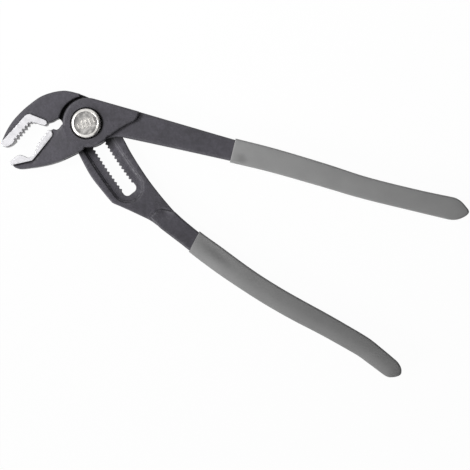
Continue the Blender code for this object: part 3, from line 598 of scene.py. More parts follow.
class PliersFinishes(bpy.types.PropertyGroup):
    """Colours and gloss of each finish."""

    black_colour: FloatVectorProperty(
        name="Blackened steel", description="Colour of the forged faces",
        default=(0.0690, 0.0652, 0.0790), subtype="COLOR", min=0.0, max=1.0,
    )
    black_shade: FloatVectorProperty(
        name="Blackened steel, deep", description="Colour of the oxide's darker clouds",
        default=(0.0460, 0.0438, 0.0515), subtype="COLOR", min=0.0, max=1.0,
    )
    # Painted shade: the colour that the forging is darkened to where it would lie in shade
    soot_colour: FloatVectorProperty(
        name="Soot", description="Colour of the oil and scale at the foot of each step",
        default=(0.012, 0.012, 0.012), subtype="COLOR", min=0.0, max=1.0,
    )
    wear_colour: FloatVectorProperty(
        name="Rubbed steel", description="Colour of the edges where the oxide is rubbed thin",
        default=(0.20, 0.197, 0.21), subtype="COLOR", min=0.0, max=1.0,
    )
    land_colour: FloatVectorProperty(
        name="Ground steel", description="Colour of the jaws' ground faces",
        default=(0.47, 0.465, 0.48), subtype="COLOR", min=0.0, max=1.0,
    )
    cut_colour: FloatVectorProperty(
        name="Cut steel", description="Colour of the jaws' sides below the ground faces",
        default=(0.46, 0.455, 0.46), subtype="COLOR", min=0.0, max=1.0,
    )
    plated_colour: FloatVectorProperty(
        name="Plated button", description="Colour of the button",
        default=(0.76, 0.74, 0.71), subtype="COLOR", min=0.0, max=1.0,
    )
    # Painted shade: the colour that the button's dish is darkened to, most beside its rim
    dish_colour: FloatVectorProperty(
        name="Button's dish", description="Colour of the dull floor of the button's dish",
        default=(0.17, 0.165, 0.165), subtype="COLOR", min=0.0, max=1.0,
    )
    bolt_colour: FloatVectorProperty(
        name="Turned steel", description="Colour of the bolt and the spring seat",
        default=(0.56, 0.55, 0.55), subtype="COLOR", min=0.0, max=1.0,
    )
    wire_colour: FloatVectorProperty(
        name="Spring wire", description="Colour of the drawn wire",
        default=(0.50, 0.49, 0.49), subtype="COLOR", min=0.0, max=1.0,
    )
    vinyl_colour: FloatVectorProperty(
        name="Grey vinyl", description="Colour of the dipped sleeves",
        default=(0.275, 0.275, 0.275), subtype="COLOR", min=0.0, max=1.0,
    )
    vinyl_handled: FloatProperty(
        name="Handled vinyl",
        description="Share of its colour that vinyl keeps where it is handled",
        default=0.86, min=0.0, max=1.0, subtype="FACTOR",
    )
    # Painted light: the upper sleeve's vinyl is paler than the lower's, in place of the stronger
    # light on it
    vinyl_faded: FloatProperty(
        name="Faded vinyl", description="How much paler the upper sleeve is than the lower",
        default=1.12, min=1.0, max=2.0,
    )
    floor_colour: FloatVectorProperty(
        name="Floor", description="Colour of the floor",
        default=(0.93, 0.93, 0.93), subtype="COLOR", min=0.0, max=1.0,
    )
    black_roughness: FloatProperty(
        name="Blackened roughness", description="Roughness of the forged faces",
        default=0.46, min=0.0, max=1.0, subtype="FACTOR",
    )
    black_metal: FloatProperty(
        name="Blackened metal", description="How much of the oxide's shine is the metal's",
        default=0.15, min=0.0, max=1.0, subtype="FACTOR",
    )
    black_shine: FloatProperty(
        name="Blackened shine", description="Strength of the forged faces' reflections",
        default=0.3, min=0.0, max=1.0, subtype="FACTOR",
    )
    vinyl_roughness: FloatProperty(
        name="Vinyl roughness", description="Roughness of the sleeves",
        default=0.55, min=0.0, max=1.0, subtype="FACTOR",
    )


class PliersStage(bpy.types.PropertyGroup):
    """Camera, lamps and floor."""

    view_centre: FloatVectorProperty(
        name="View centre", description="Point that the camera looks straight down on",
        default=(0.0795, -0.0596, 0.012), subtype="TRANSLATION", unit="LENGTH",
    )
    view_width: FloatProperty(
        name="View width", description="Width of the picture at the view centre",
        default=0.25145, min=0.01, unit="LENGTH",
    )
    camera_distance: FloatProperty(
        name="Camera distance", description="Height of the camera above the view centre",
        default=1.2, min=0.1, unit="LENGTH",
    )
    sensor: FloatProperty(
        name="Sensor", description="Width of the camera's sensor in millimetres",
        default=36.0, min=1.0,
    )
    key_power: FloatProperty(
        name="Key lamp", description="Power of the soft lamp on the left",
        default=5.0, min=0.0, unit="POWER",
    )
    top_power: FloatProperty(
        name="Top lamp", description="Power of the spot above the jaws",
        default=29.0, min=0.0, unit="POWER",
    )
    top_beam: FloatProperty(
        name="Top beam", description="Angle over which the spot fades to nothing",
        default=math.radians(39), min=0.01, subtype="ANGLE",
    )
    top_softness: FloatProperty(
        name="Top softness", description="Radius of the spot's source",
        default=0.12, min=0.0, unit="LENGTH",
    )
    lamp_size: FloatProperty(
        name="Lamp size", description="Width of the key lamp's disc",
        default=0.5, min=0.01, unit="LENGTH",
    )
    sky_level: FloatProperty(
        name="Sky level", description="Strength of the even light from all round",
        default=0.22, min=0.0,
    )
    floor_size: FloatProperty(
        name="Floor size", description="Width of the floor",
        default=6.0, min=0.5, unit="LENGTH",
    )
    floor_glow: FloatProperty(
        name="Floor glow", description="Share of the floor that shows plain white to the camera",
        default=0.97, min=0.0, max=1.0, subtype="FACTOR",
    )
    flag_distance: FloatProperty(
        name="Flag distance", description="Distance of the dark card that stands on the right",
        default=0.35, min=0.1, unit="LENGTH",
    )
    flag_height: FloatProperty(
        name="Flag height", description="Height of the dark card",
        default=0.50, min=0.0, unit="LENGTH",
    )


# Outlines


def sized(shares, along, across):
    """Shares of two named sizes, as points."""
    return [(x * along, y * across) for x, y in shares]


def arc(centre, radius, start, end):
    """Points on a circle from one angle to the other, both ends included."""
    steps = max(2, math.ceil(abs(end - start) / ARC_STEP))
    angles = [start + (end - start) * i / steps for i in range(steps + 1)]
    return [(centre[0] + radius * math.cos(a), centre[1] + radius * math.sin(a)) for a in angles]


def smooth(points, steps=CURVE_STEPS):
    """A curve through every point, bending evenly between them."""
    points = [Vector(p) for p in points]
    ends = [2 * points[0] - points[1], *points, 2 * points[-1] - points[-2]]
    curve = []
    for i in range(1, len(ends) - 2):
        before, start, end, after = ends[i - 1 : i + 3]
        for step in range(steps):
            t = step / steps
            curve.append(0.5 * (
                2 * start + (end - before) * t
                + (2 * before - 5 * start + 4 * end - after) * t * t
                + (3 * start - before - 3 * end + after) * t * t * t
            ))
    curve.append(points[-1])
    return [tuple(p) for p in curve]


def turned_by(points, angle):
    """The points turned round the pivot."""
    cos, sin = math.cos(angle), math.sin(angle)
    return [(x * cos - y * sin, x * sin + y * cos) for x, y in points]


def track_centre():
    """Centre of the slot's arc, square to its heading at the pivot."""
    return (-TRACK_RADIUS * math.sin(TRACK_HEADING), TRACK_RADIUS * math.cos(TRACK_HEADING))


def on_track(points):
    """Points given along and across the slot's arc, as points of the tool."""
    centre = track_centre()
    found = []
    for along, across in points:
        angle = TRACK_HEADING - math.pi / 2 + along / TRACK_RADIUS
        reach = TRACK_RADIUS - across
        found.append((centre[0] + reach * math.cos(angle), centre[1] + reach * math.sin(angle)))
    return found


def toothed(points, count, depth):
    """Teeth along a curve: flat tips on it and flat roots cut to its left."""
    curve = [Vector(p) for p in smooth(points)]
    lengths = [0.0]
    for a, b in zip(curve, curve[1:]):
        lengths.append(lengths[-1] + (b - a).length)

    def place(share, side):
        wanted = share * lengths[-1]
        i = next(i for i in range(1, len(curve)) if lengths[i] >= wanted or i == len(curve) - 1)
        run = curve[i] - curve[i - 1]
        spot = curve[i - 1] + run * ((wanted - lengths[i - 1]) / (lengths[i] - lengths[i - 1]))
        left = Vector((-run.y, run.x)).normalized()
        return tuple(spot + left * side)

    profile = []
    for tooth in range(count):
        for step, side in TOOTH_STEPS:
            profile.append(place((tooth + step) / count, side * depth))
    profile.append(place(1.0, 0.0))
    return profile


def bar(line, end, root=(), slant=0.0):
    """A bar from its centre line and widths, with a blunt far end and a root at its near one.

    Its near end slants by a share of its width, so that the right corner lies further along.
    """
    rows = smooth(line, BAR_STEPS)
    left, right = [], []
    for i, (x, y, width) in enumerate(rows):
        ahead, behind = rows[min(i + 1, len(rows) - 1)], rows[max(i - 1, 0)]
        run = Vector((ahead[0] - behind[0], ahead[1] - behind[1])).normalized()
        side = Vector((-run.y, run.x)) * (width / 2)
        left.append((x + side.x, y + side.y))
        right.append((x - side.x, y - side.y))
    ahead = run * rows[-1][2] / 2
    shift = Vector(rows[1][:2]) - Vector(rows[0][:2])
    shift *= slant * rows[0][2] / 2 / shift.length
    left[0] = (left[0][0] - shift.x, left[0][1] - shift.y)
    right[0] = (right[0][0] + shift.x, right[0][1] + shift.y)
    cap = [
        (x + ahead.x * far + side.x * out, y + ahead.y * far + side.y * out) for far, out in end
    ]
    cap = smooth([right[-1], *cap, left[-1]])
    return [*right[:-1], *cap, *left[-2::-1], *root]


def anticlockwise(outline):
    """The outline in the order that keeps its inside on the left."""
    area = sum(
        before[0] * here[1] - here[0] * before[1]
        for before, here in zip(outline[-1:] + outline[:-1], outline)
    )
    return outline if area > 0 else outline[::-1]


def moved_out(outline, distance):
    """The outline moved outwards by one distance."""
    outline = anticlockwise(outline)
    moved = []
    for i, point in enumerate(outline):
        here = Vector(point)
        before = (here - Vector(outline[i - 1])).normalized()
        after = (Vector(outline[(i + 1) % len(outline)]) - here).normalized()
        first, second = Vector((before.y, -before.x)), Vector((after.y, -after.x))
        spread = max(LEAST_SPREAD, 1.0 + first.dot(second))
        moved.append(tuple(here + (first + second) * (distance / spread)))
    return moved


def toothed_flank(half_tip, half_root, count, first_root):
    """One side of a toothed strip, as points along and across it, roots on the pitch marks."""
    flank = []
    slope = (TOOTH_PITCH - 2 * TOOTH_FLAT) / 2
    for i in range(count):
        root = first_root + i * TOOTH_PITCH
        flank.append((root - TOOTH_FLAT / 2 - slope, half_tip))
        flank.append((root - TOOTH_FLAT / 2, half_root))
        flank.append((root + TOOTH_FLAT / 2, half_root))
        flank.append((root + TOOTH_FLAT / 2 + slope, half_tip))
    return flank


def slot_outline():
    """The slot: teeth on both flanks and a rounded end past the last position."""
    block_reach = (BOLT_TEETH / 2) * TOOTH_PITCH
    start = -block_reach - MESHING_GAP
    end = TRACK_TRAVEL + block_reach + 2 * MESHING_GAP
    half_root = SLOT_ROOT_GAP / 2
    teeth = SLOT_STOPS + BOLT_TEETH - 1
    first_root = -(BOLT_TEETH - 1) / 2 * TOOTH_PITCH
    flank = toothed_flank(SLOT_TIP_GAP / 2, half_root, teeth, first_root)[:-1]
    corner = half_root - SLOT_CORNER_RADIUS
    round_end = arc((end - SLOT_CORNER_RADIUS, corner), SLOT_CORNER_RADIUS, math.pi / 2, 0.0)
    upper = [(start, SLOT_TIP_GAP / 2), *flank, *round_end]
    upper = [p for i, p in enumerate(upper) if i == 0 or p[0] > upper[i - 1][0]]
    return [(x, -y) for x, y in upper] + upper[::-1]


def block_outline():
    """The bolt's toothed block, the slot's profile drawn in by the meshing gap."""
    half_tip = SLOT_ROOT_GAP / 2 - MESHING_GAP
    half_root = SLOT_TIP_GAP / 2 - MESHING_GAP
    first = -(BOLT_TEETH - 1) / 2 * TOOTH_PITCH
    flank = toothed_flank(half_root, half_tip, BOLT_TEETH, first)
    end = flank[-1][0] - MESHING_GAP / 2
    corner = arc(
        (end - BOLT_CORNER_RADIUS, half_root - BOLT_CORNER_RADIUS), BOLT_CORNER_RADIUS,
        math.pi / 2, 0.0,
    )
    kept = [p for p in flank if abs(p[0]) < end - BOLT_CORNER_RADIUS]
    mirrored = [(-x, y) for x, y in corner[::-1]]
    upper = mirrored + kept + corner
    return [(x, -y) for x, y in upper] + upper[::-1]


def panel_outline():
    """The recess round the slot, a stadium on the slot's own line."""
    half = SLOT_ROOT_GAP / 2 + PANEL_MARGIN
    end = TRACK_TRAVEL + (BOLT_TEETH / 2) * TOOTH_PITCH - SLOT_ROOT_GAP / 2 + RUNNING_GAP
    line = [(end * i / BAR_STEPS, -half) for i in range(1, BAR_STEPS)]
    far = arc((end, 0.0), half, -math.pi / 2, math.pi / 2)
    near = arc((0.0, 0.0), half, math.pi / 2, 3 * math.pi / 2)
    return line + far + [(x, -y) for x, y in line[::-1]] + near


def rail_outline():
    """The neck, the head under the cheeks and the rail down to the handle."""
    left = on_track(smooth(sized(RAIL_LEFT_SHARES, NECK_DISTANCE, RAIL_HALF_WIDTH)))
    right = on_track(smooth(sized(RAIL_RIGHT_SHARES, NECK_DISTANCE, RAIL_HALF_WIDTH)))
    start = math.atan2(right[-1][1], right[-1][0])
    cover = sized(NECK_COVER_SHARES, JAW_REACH, JAW_RISE)
    end = math.atan2(cover[0][1], cover[0][0]) - COVER_LEAD
    return left + right + arc((0.0, 0.0), HEAD_RADIUS, start, end)[1:] + cover


def upper_jaw_outline():
    """The jaw's mouth side, the round step beside the boss and the jaw's back."""
    mouth = sized(JAW_INSIDE_SHARES, JAW_REACH, JAW_RISE)
    back = smooth(sized(JAW_BACK_SHARES, JAW_REACH, JAW_RISE))
    start = math.atan2(mouth[-1][1], mouth[-1][0])
    end = math.atan2(back[0][1], back[0][0])
    return mouth + arc((0.0, 0.0), JAW_STEP_RADIUS, start, end)[1:-1] + back


def upper_teeth():
    """The upper jaw's toothed line, from its nose to its throat."""
    teeth = sized(UPPER_TEETH_SHARES, JAW_REACH, JAW_RISE)
    return toothed(teeth, UPPER_JAW_TEETH, UPPER_TOOTH_DEPTH)


def lower_teeth():
    """The lower jaw's toothed line, from beside the throat to its nose."""
    teeth = sized(LOWER_TEETH_SHARES, LOWER_JAW_REACH, JAW_DROP)
    return toothed(teeth, LOWER_JAW_TEETH, LOWER_TOOTH_DEPTH)


def upper_land_outline():
    """The upper jaw's ground face: its nose, its teeth and its throat."""
    nose = smooth(sized(UPPER_NOSE_SHARES, JAW_REACH, JAW_RISE))
    return nose + upper_teeth() + sized(UPPER_THROAT_SHARES, JAW_REACH, JAW_RISE)


def lower_land_outline():
    """The lower jaw's ground face: its tip, its teeth and its nose."""
    tip = sized(LOWER_TIP_SHARES, LOWER_JAW_REACH, JAW_DROP)
    return tip + lower_teeth() + sized(LOWER_NOSE_SHARES, LOWER_JAW_REACH, JAW_DROP)


def trench_outline():
    """The crescent between the upper jaw's step and the boss, reaching in under the cheek."""
    outer = arc((0.0, 0.0), JAW_STEP_RADIUS - WALL_RUN, TRENCH_START, TRENCH_END)
    return outer + arc(BOSS_CENTRE, BOSS_RADIUS - TRENCH_COVER, TRENCH_END, TRENCH_START)


def lower_jaw_outline():
    """The lower jaw's forged body, under its ground face and in to the boss."""
    top = sized(LOWER_BODY_TOP_SHARES, LOWER_JAW_REACH, JAW_DROP)
    below = smooth(sized(LOWER_BODY_BELOW_SHARES, LOWER_JAW_REACH, JAW_DROP))
    return top + below


def cheek_outline():
    """The round boss and the shoulder that the upper handle leaves from."""
    shoulder = smooth(sized(SHOULDER_SHARES, SHOULDER_DISTANCE, SHOULDER_DISTANCE))
    below = math.atan2(shoulder[0][1] - BOSS_CENTRE[1], shoulder[0][0] - BOSS_CENTRE[0])
    return arc(BOSS_CENTRE, BOSS_RADIUS, BOSS_TOP, math.tau + below)[:-1] + shoulder


def window_outline():
    """The space that the rail sweeps between the cheeks as the pivot lever turns."""
    closed = TRACK_HEADING + CLOSING_ANGLE
    opened = TRACK_HEADING - OPENING_ANGLE
    apex = (closed + opened) / 2 + math.pi / 2
    spread = math.cos((closed - opened) / 2)
    right = Vector((math.cos(apex), math.sin(apex))) * ((RAIL_REACH_RIGHT + RUNNING_GAP) / spread)
    left = Vector((math.cos(apex), math.sin(apex))) * (-(RAIL_REACH_LEFT + RUNNING_GAP) / spread)
    ahead = Vector((math.cos(closed), math.sin(closed))) * WINDOW_REACH
    down = Vector((math.cos(opened), math.sin(opened))) * WINDOW_REACH
    return [tuple(p) for p in (
        right, right - down, left - ahead, left, left + down, right + ahead,
    )]


def stations(shares, start, length, offset, width):
    """Centre line and width of a bar whose shares run from its start to its full length."""
    span = length - start
    return [(start + far * span, aside * offset, wide * width) for far, aside, wide in shares]


def upper_sleeve():
    """Centre line and widths of the upper grip."""
    return stations(
        UPPER_GRIP_SHARES, 0.0, UPPER_HANDLE_LENGTH, UPPER_HANDLE_OFFSET, GRIP_WIDTH,
    )


def lower_sleeve():
    """Centre line and widths of the lower grip, along the slot's line."""
    return stations(
        LOWER_GRIP_SHARES, NECK_DISTANCE, LOWER_HANDLE_LENGTH, LOWER_HANDLE_OFFSET, GRIP_WIDTH,
    )


def inside(sleeve):
    """The steel's narrower run inside a sleeve, from past its mouth."""
    narrower = 2 * (GRIP_WALL + RUNNING_GAP)
    return [(x, y, width - narrower) for x, y, width in sleeve[1:]]


def upper_core():
    """The upper handle's steel, from its root to its end inside the grip."""
    bare = stations(
        UPPER_STEEL_SHARES, 0.0, UPPER_HANDLE_LENGTH, UPPER_HANDLE_OFFSET, HANDLE_WIDTH,
    )
    root = sized(UPPER_ROOT_SHARES, SHOULDER_DISTANCE, SHOULDER_DISTANCE)
    outline = bar(bare + inside(upper_sleeve()), UPPER_END_SHARES, root)
    return turned_by(outline, UPPER_HANDLE_HEADING)


def lower_core():
    """The lower handle's steel, from its root to its end inside the grip."""
    bare = stations(
        LOWER_STEEL_SHARES, NECK_DISTANCE, LOWER_HANDLE_LENGTH, LOWER_HANDLE_OFFSET, HANDLE_WIDTH,
    )
    root = sized(LOWER_ROOT_SHARES, NECK_DISTANCE, NECK_DISTANCE)
    return on_track(bar(bare + inside(lower_sleeve()), LOWER_END_SHARES, root))


# Faces measured from outlines


def divided(outline, sizes, closed=True):
    """The outline anticlockwise, its sides cut short: finely near the joint, less so beyond."""
    outline = np.array(anticlockwise(outline) if closed else outline)
    following = np.roll(outline, -1, axis=0)
    pieces = []
    for start, end in zip(outline, following):
        longest = sizes.fine_step if math.hypot(*start) < HEAD_ZONE else sizes.coarse_step
        count = max(1, math.ceil(math.hypot(*(end - start)) / longest))
        pieces.append(start + (end - start) * np.arange(count)[:, None] / count)
    return np.concatenate(pieces)


def distance_to(points, line, closed=True):
    """Distance of each point to a line; where the line is closed, negative outside it."""
    nearest = np.full(len(points), np.inf)
    within = np.zeros(len(points), bool)
    x, y = points.T
    ends = np.roll(line, -1, axis=0) if closed else line[1:]
    for start, end in zip(line, ends):
        run = end - start
        length = max(float(run @ run), TINY)
        aside = points - start
        share = np.clip(aside @ run / length, 0, 1)
        nearest = np.minimum(nearest, ((aside - share[:, None] * run) ** 2).sum(axis=1))
        if closed and start[1] != end[1]:
            crossed = (start[1] > y) != (end[1] > y)
            within ^= crossed & (x < start[0] + (y - start[1]) * run[0] / run[1])
    nearest = np.sqrt(nearest)
    return np.where(within, nearest, -nearest) if closed else nearest


def rings(line, offsets, closed=True):
    """Points beside a line, to its left by each offset, where they are really that far from it."""
    if closed:
        run = np.roll(line, -1, axis=0) - np.roll(line, 1, axis=0)
    else:
        run = np.gradient(line, axis=0)
    left = np.column_stack((-run[:, 1], run[:, 0]))
    left /= np.maximum(np.hypot(*left.T), TINY)[:, None]
    found = []
    for offset in offsets:
        points = line + left * offset
        far = np.abs(distance_to(points, line, closed))
        found.append(points[far > LEAST_RING_SHARE * abs(offset)])
    return found


def grid(outlines, step):
    """Points in even rows over all the outlines."""
    low = np.min([o.min(axis=0) for o in outlines], axis=0)
    high = np.max([o.max(axis=0) for o in outlines], axis=0)
    columns, rows = np.ceil((high - low) / step).astype(int) + 1
    places = np.array([
        (low[0] + (column + 0.5 * (row % 2)) * step, low[1] + row * step)
        for row in range(rows) for column in range(columns)
    ])
    inside_one = np.max([distance_to(places, o) for o in outlines], axis=0) > 0
    return places[inside_one]


def quarter(distance, radius):
    """How far a rounded edge of this radius has dropped at a distance inside it."""
    reach = np.clip(radius - distance, 0, radius)
    return radius - np.sqrt(np.maximum(radius**2 - reach**2, 0))


def quarters(radius):
    """Distances in from a rounded edge at which its curve is cut."""
    return radius * np.array(QUARTER_SHARES)


def raised(height, distance, top, edge, foot):
    """The height with one plate added, rounded at its edge and filleted at its foot."""
    outside = np.clip(-distance, 0, None)
    face = top - edge - height
    wall = face * np.clip(1 - outside / WALL_RUN, 0, 1)
    fillet = np.minimum(quarter(outside - WALL_RUN, foot), face)
    beside = height + np.clip(np.maximum(wall, fillet), 0, None)
    return np.where(distance >= 0, np.maximum(height, top - quarter(distance, edge)), beside)


def sunk(height, distance, floor, edge, foot, run):
    """The height with a recess cut in it: rounded rim, leaning wall and filleted floor."""
    rim = height - quarter(-distance, edge)
    wall = floor + (height - edge - floor) * np.clip(1 - distance / run, 0, 1)
    fillet = floor + quarter(distance - run, foot)
    return np.where(distance > 0, np.minimum(height, np.maximum(wall, fillet)), rim)


def waves(points, sizes, seed):
    """Slow waves that a forged face keeps, as heights."""
    return sizes.waviness * np.array([
        noise.noise(Vector((x / sizes.wave_length, y / sizes.wave_length, seed)))
        for x, y in points
    ])


def sinking(points, dent):
    """How far a shallow oval dent lowers each point."""
    aside = points - np.array(dent.centre)
    cos, sin = math.cos(dent.heading), math.sin(dent.heading)
    along = (aside[:, 0] * cos + aside[:, 1] * sin) / dent.length
    across = (aside[:, 1] * cos - aside[:, 0] * sin) / dent.width
    return dent.depth * np.clip(1 - along**2 - across**2, 0, 1) ** 2


def relief(points, distances, plates, recesses, holes, sizes, front):
    """Height of the forging's front, or of its back with Z turned round."""
    height = np.full(len(points), MIDDLE if front else -MIDDLE)
    for distance, plate in zip(distances, plates):
        top, edge = (plate.high, plate.edge) if front else (-plate.low, plate.rear_edge)
        if plate.rises:
            top = top + run_up(points, sizes) * (CHEEK_TOP - JAW_HIGH if front else JAW_LOW)
        if plate.teeth is not None:
            near = 1 - distance_to(points, plate.teeth, closed=False) / (2 * sizes.tooth_edge)
            edge = edge + (sizes.tooth_edge - edge) * np.clip(2 * near, 0, 1)
        height = raised(height, distance, top, edge, plate.foot)
    for distance, recess in zip(distances[len(plates):], recesses):
        floor = recess.high if front else -recess.low
        height = sunk(height, distance, floor, recess.edge, recess.foot, recess.run)
    for distance in distances[len(distances) - len(holes):]:
        height = height - quarter(-distance, sizes.slot_edge)
    return height


def run_up(points, sizes):
    """One up to the boss's rim, falling evenly to nought over the jaw's run."""
    reach = np.hypot(points[:, 0] - BOSS_CENTRE[0], points[:, 1] - BOSS_CENTRE[1])
    return np.clip(1 - (reach - BOSS_RADIUS) / sizes.jaw_run, 0, 1)


def circles(radii, step):
    """Points round the pivot at each radius."""
    found = []
    for radius in radii:
        turns = np.arange(0, math.tau, step / radius)
        found.append(np.column_stack((radius * np.cos(turns), radius * np.sin(turns))))
    return found


def triangulated(outlines, loose):
    """Triangles over the outlines and loose points, with the outlines that each lies in."""
    places, faces = [], []
    for outline in outlines:
        faces.append(list(range(len(places), len(places) + len(outline))))
        places.extend(outline)
    places = np.concatenate((np.array(places), loose)) / MM
    found = delaunay_2d_cdt([Vector(p) for p in places], [], faces, 0, MERGE_MM)
    points = np.array([tuple(p) for p in found[0]]) * MM
    return points, found[2], found[5]


def new_object(name, mesh, materials):
    """The mesh with its materials, in the scene."""
    for material in materials:
        mesh.materials.append(material)
    obj = bpy.data.objects.new(name, mesh)
    bpy.context.scene.collection.objects.link(obj)
    return obj


def slab(name, points, triangles, slots, front, back, materials, side_slot=BLACK_SLOT):
    """A closed mesh between two heights over the same triangles, each with its material's slot.

    The walls below a triangle whose slot isn't the first take the side slot.
    """
    used = sorted({i for triangle in triangles for i in triangle})
    place = {old: new for new, old in enumerate(used)}
    count = len(used)
    verts = [(*points[i], front[i]) for i in used] + [(*points[i], back[i]) for i in used]
    tops = []
    for triangle in triangles:
        a, b, c = (points[i] for i in triangle)
        turned_over = (b[0] - a[0]) * (c[1] - a[1]) < (b[1] - a[1]) * (c[0] - a[0])
        corners = [place[i] for i in triangle]
        tops.append(corners[::-1] if turned_over else corners)
    sides = {}
    for face, corners in enumerate(tops):
        for start, end in zip(corners, corners[1:] + corners[:1]):
            sides[start, end] = face
    outer = [(pair, face) for pair, face in sides.items() if pair[::-1] not in sides]
    bottoms = [[i + count for i in corners[::-1]] for corners in tops]
    walls = [(end, start, start + count, end + count) for (start, end), _ in outer]
    mesh = bpy.data.meshes.new(name)
    mesh.from_pydata(verts, [], tops + bottoms + walls)
    walled = [BLACK_SLOT if slots[face] == BLACK_SLOT else side_slot for _, face in outer]
    mesh.polygons.foreach_set("material_index", [int(slot) for slot in (*slots, *slots, *walled)])
    mesh.validate()
    return new_object(name, mesh, materials)


def forging(name, sizes, plates, recesses=(), holes=(), dents=(), bores=(),
            side_slot=BLACK_SLOT, materials=()):
    """One forging from its plates, lowest first: rounded edges, fillets, recesses and holes.

    Round each radius in bores the faces are finely divided, ready for a bore to be cut. The
    walls below a ground plate and the faces beside its teeth take the side slot.
    """
    land = next((i for i, plate in enumerate(plates) if plate.ground), None)
    outlines = [shape.outline for shape in (*plates, *recesses)] + list(holes)
    loose = [grid([plate.outline for plate in plates], sizes.grid_step)]
    for plate in plates:
        rounded = max(plate.edge, plate.rear_edge) if plate.teeth is None else sizes.tooth_edge
        beyond = WALL_RUN + quarters(plate.foot)
        loose += rings(plate.outline, [*quarters(rounded), -WALL_RUN, *-beyond])
    for recess in recesses:
        floor = recess.run + quarters(recess.foot)
        loose += rings(recess.outline, [recess.run, *floor, *-quarters(recess.edge)])
    for hole in holes:
        loose += rings(hole, -quarters(sizes.slot_edge))
    for radius in bores:
        loose += circles(radius + sizes.fine_step * np.array(BORE_RING_SHARES), sizes.fine_step)
    loose = np.concatenate(loose)
    nearest = np.min([np.abs(distance_to(loose, outline)) for outline in outlines], axis=0)
    points, triangles, owners = triangulated(outlines, loose[nearest > CLEAR_OF_LINES])
    first_hole = len(outlines) - len(holes)
    kept = [
        i for i, own in enumerate(owners)
        if any(o < len(plates) for o in own) and not any(o >= first_hole for o in own)
    ]
    middles = points[[triangles[i] for i in kept]].mean(axis=1)
    slots = np.array([GROUND_SLOT if land in owners[i] else BLACK_SLOT for i in kept])
    for plate in plates:
        if plate.teeth is not None:
            near = np.abs(distance_to(middles, plate.teeth, closed=False)) < TEETH_BAND
            slots[near & (slots == BLACK_SLOT)] = side_slot
    distances = [distance_to(points, outline) for outline in outlines]
    ground = np.zeros(len(points)) if land is None else np.clip(distances[land] / MM, -1, 0) + 1
    front = relief(points, distances, plates, recesses, holes, sizes, True)
    back = relief(points, distances, plates, recesses, holes, sizes, False)
    for dent in dents:
        sunken = sinking(points, dent)
        front, back = front - sunken, back - sunken
    front = front + waves(points, sizes, FRONT_WAVES) * (1 - ground)
    back = -back - waves(points, sizes, REAR_WAVES) * (1 - ground)
    kept = [triangles[i] for i in kept]
    return slab(name, points, kept, slots, front, back, materials, side_slot)


def turned(name, profile, materials=()):
    """A solid of revolution round the pivot's axis, from a closed half profile."""
    bm = bmesh.new()
    verts = [bm.verts.new((radius, 0.0, z)) for radius, z in profile]
    edges = [bm.edges.new(pair) for pair in zip(verts, verts[1:] + verts[:1])]
    on_axis = [e for e in edges if all(v.co.x == 0.0 for v in e.verts)]
    bmesh.ops.delete(bm, geom=on_axis, context="EDGES_FACES")
    bmesh.ops.spin(
        bm, geom=bm.verts[:] + bm.edges[:], cent=(0, 0, 0), axis=(0, 0, 1),
        angle=math.tau, steps=TURNED_STEPS, use_merge=True, use_duplicate=False,
    )
    bmesh.ops.remove_doubles(bm, verts=bm.verts, dist=RUNNING_GAP / 1000)
    return from_bmesh(name, bm, materials)


def from_bmesh(name, bm, materials):
    """The built mesh as an object, its faces turned outwards."""
    if bm.calc_volume(signed=True) < 0:
        bmesh.ops.reverse_faces(bm, faces=bm.faces)
    mesh = bpy.data.meshes.new(name)
    bm.to_mesh(mesh)
    bm.free()
    return new_object(name, mesh, materials)


def lofted(bm, loops):
    """Faces from each loop of points to the next; gives the faces that close the two ends."""
    for low, high in zip(loops, loops[1:]):
        for i in range(len(low)):
            j = (i + 1) % len(low)
            bm.faces.new((low[i], low[j], high[j], high[i]))
    return [bm.faces.new(loops[0][::-1]), bm.faces.new(loops[-1])]


def prism(name, outline, low, high):
    """A straight block over an outline."""
    outline = anticlockwise(outline)
    bm = bmesh.new()
    caps = lofted(bm, [[bm.verts.new((x, y, z)) for x, y in outline] for z in (low, high)])
    bm.normal_update()
    bmesh.ops.triangulate(bm, faces=caps, ngon_method="EAR_CLIP")
    return from_bmesh(name, bm, ())


def combine(base, added=(), removed=()):
    """Joins the added shapes to the base and cuts the removed ones from it."""
    for operation, helpers in (("UNION", added), ("DIFFERENCE", removed)):
        for helper in helpers:
            modifier = base.modifiers.new(helper.name, "BOOLEAN")
            modifier.operation = operation
            modifier.object = helper
            modifier.solver = "MANIFOLD"
    bpy.context.view_layer.update()
    graph = bpy.context.evaluated_depsgraph_get()
    mesh = bpy.data.meshes.new_from_object(base.evaluated_get(graph))
    if not mesh.polygons:
        raise RuntimeError(f"{base.name}: the cut left nothing")
    base.modifiers.clear()
    base.data = mesh
    for helper in (*added, *removed):
        bpy.data.objects.remove(helper, do_unlink=True)


def rub_edges(obj):
    """Stores how strongly each point's edges stand out, which the finishes read as wear."""
    bm = bmesh.new()
    bm.from_mesh(obj.data)
    bm.verts.ensure_lookup_table()
    worn = np.zeros(len(bm.verts))
    for edge in bm.edges:
        if len(edge.link_faces) == 2:
            turn = edge.calc_face_angle_signed(0.0) / BARE_TURN
            for vert in edge.verts:
                worn[vert.index] = max(worn[vert.index], turn)
    pairs = np.array([(e.verts[0].index, e.verts[1].index) for e in bm.edges])
    bm.free()
    near = worn.copy()
    np.maximum.at(near, pairs[:, 0], worn[pairs[:, 1]] / 2)
    np.maximum.at(near, pairs[:, 1], worn[pairs[:, 0]] / 2)
    stored(obj, "wear", near)


def stored(obj, name, values):
    """Keeps one number for each point, which the finishes read by its name."""
    attribute = obj.data.attributes.new(name, "FLOAT", "POINT")
    attribute.data.foreach_set("value", np.clip(values, 0, 1).astype(np.float32))


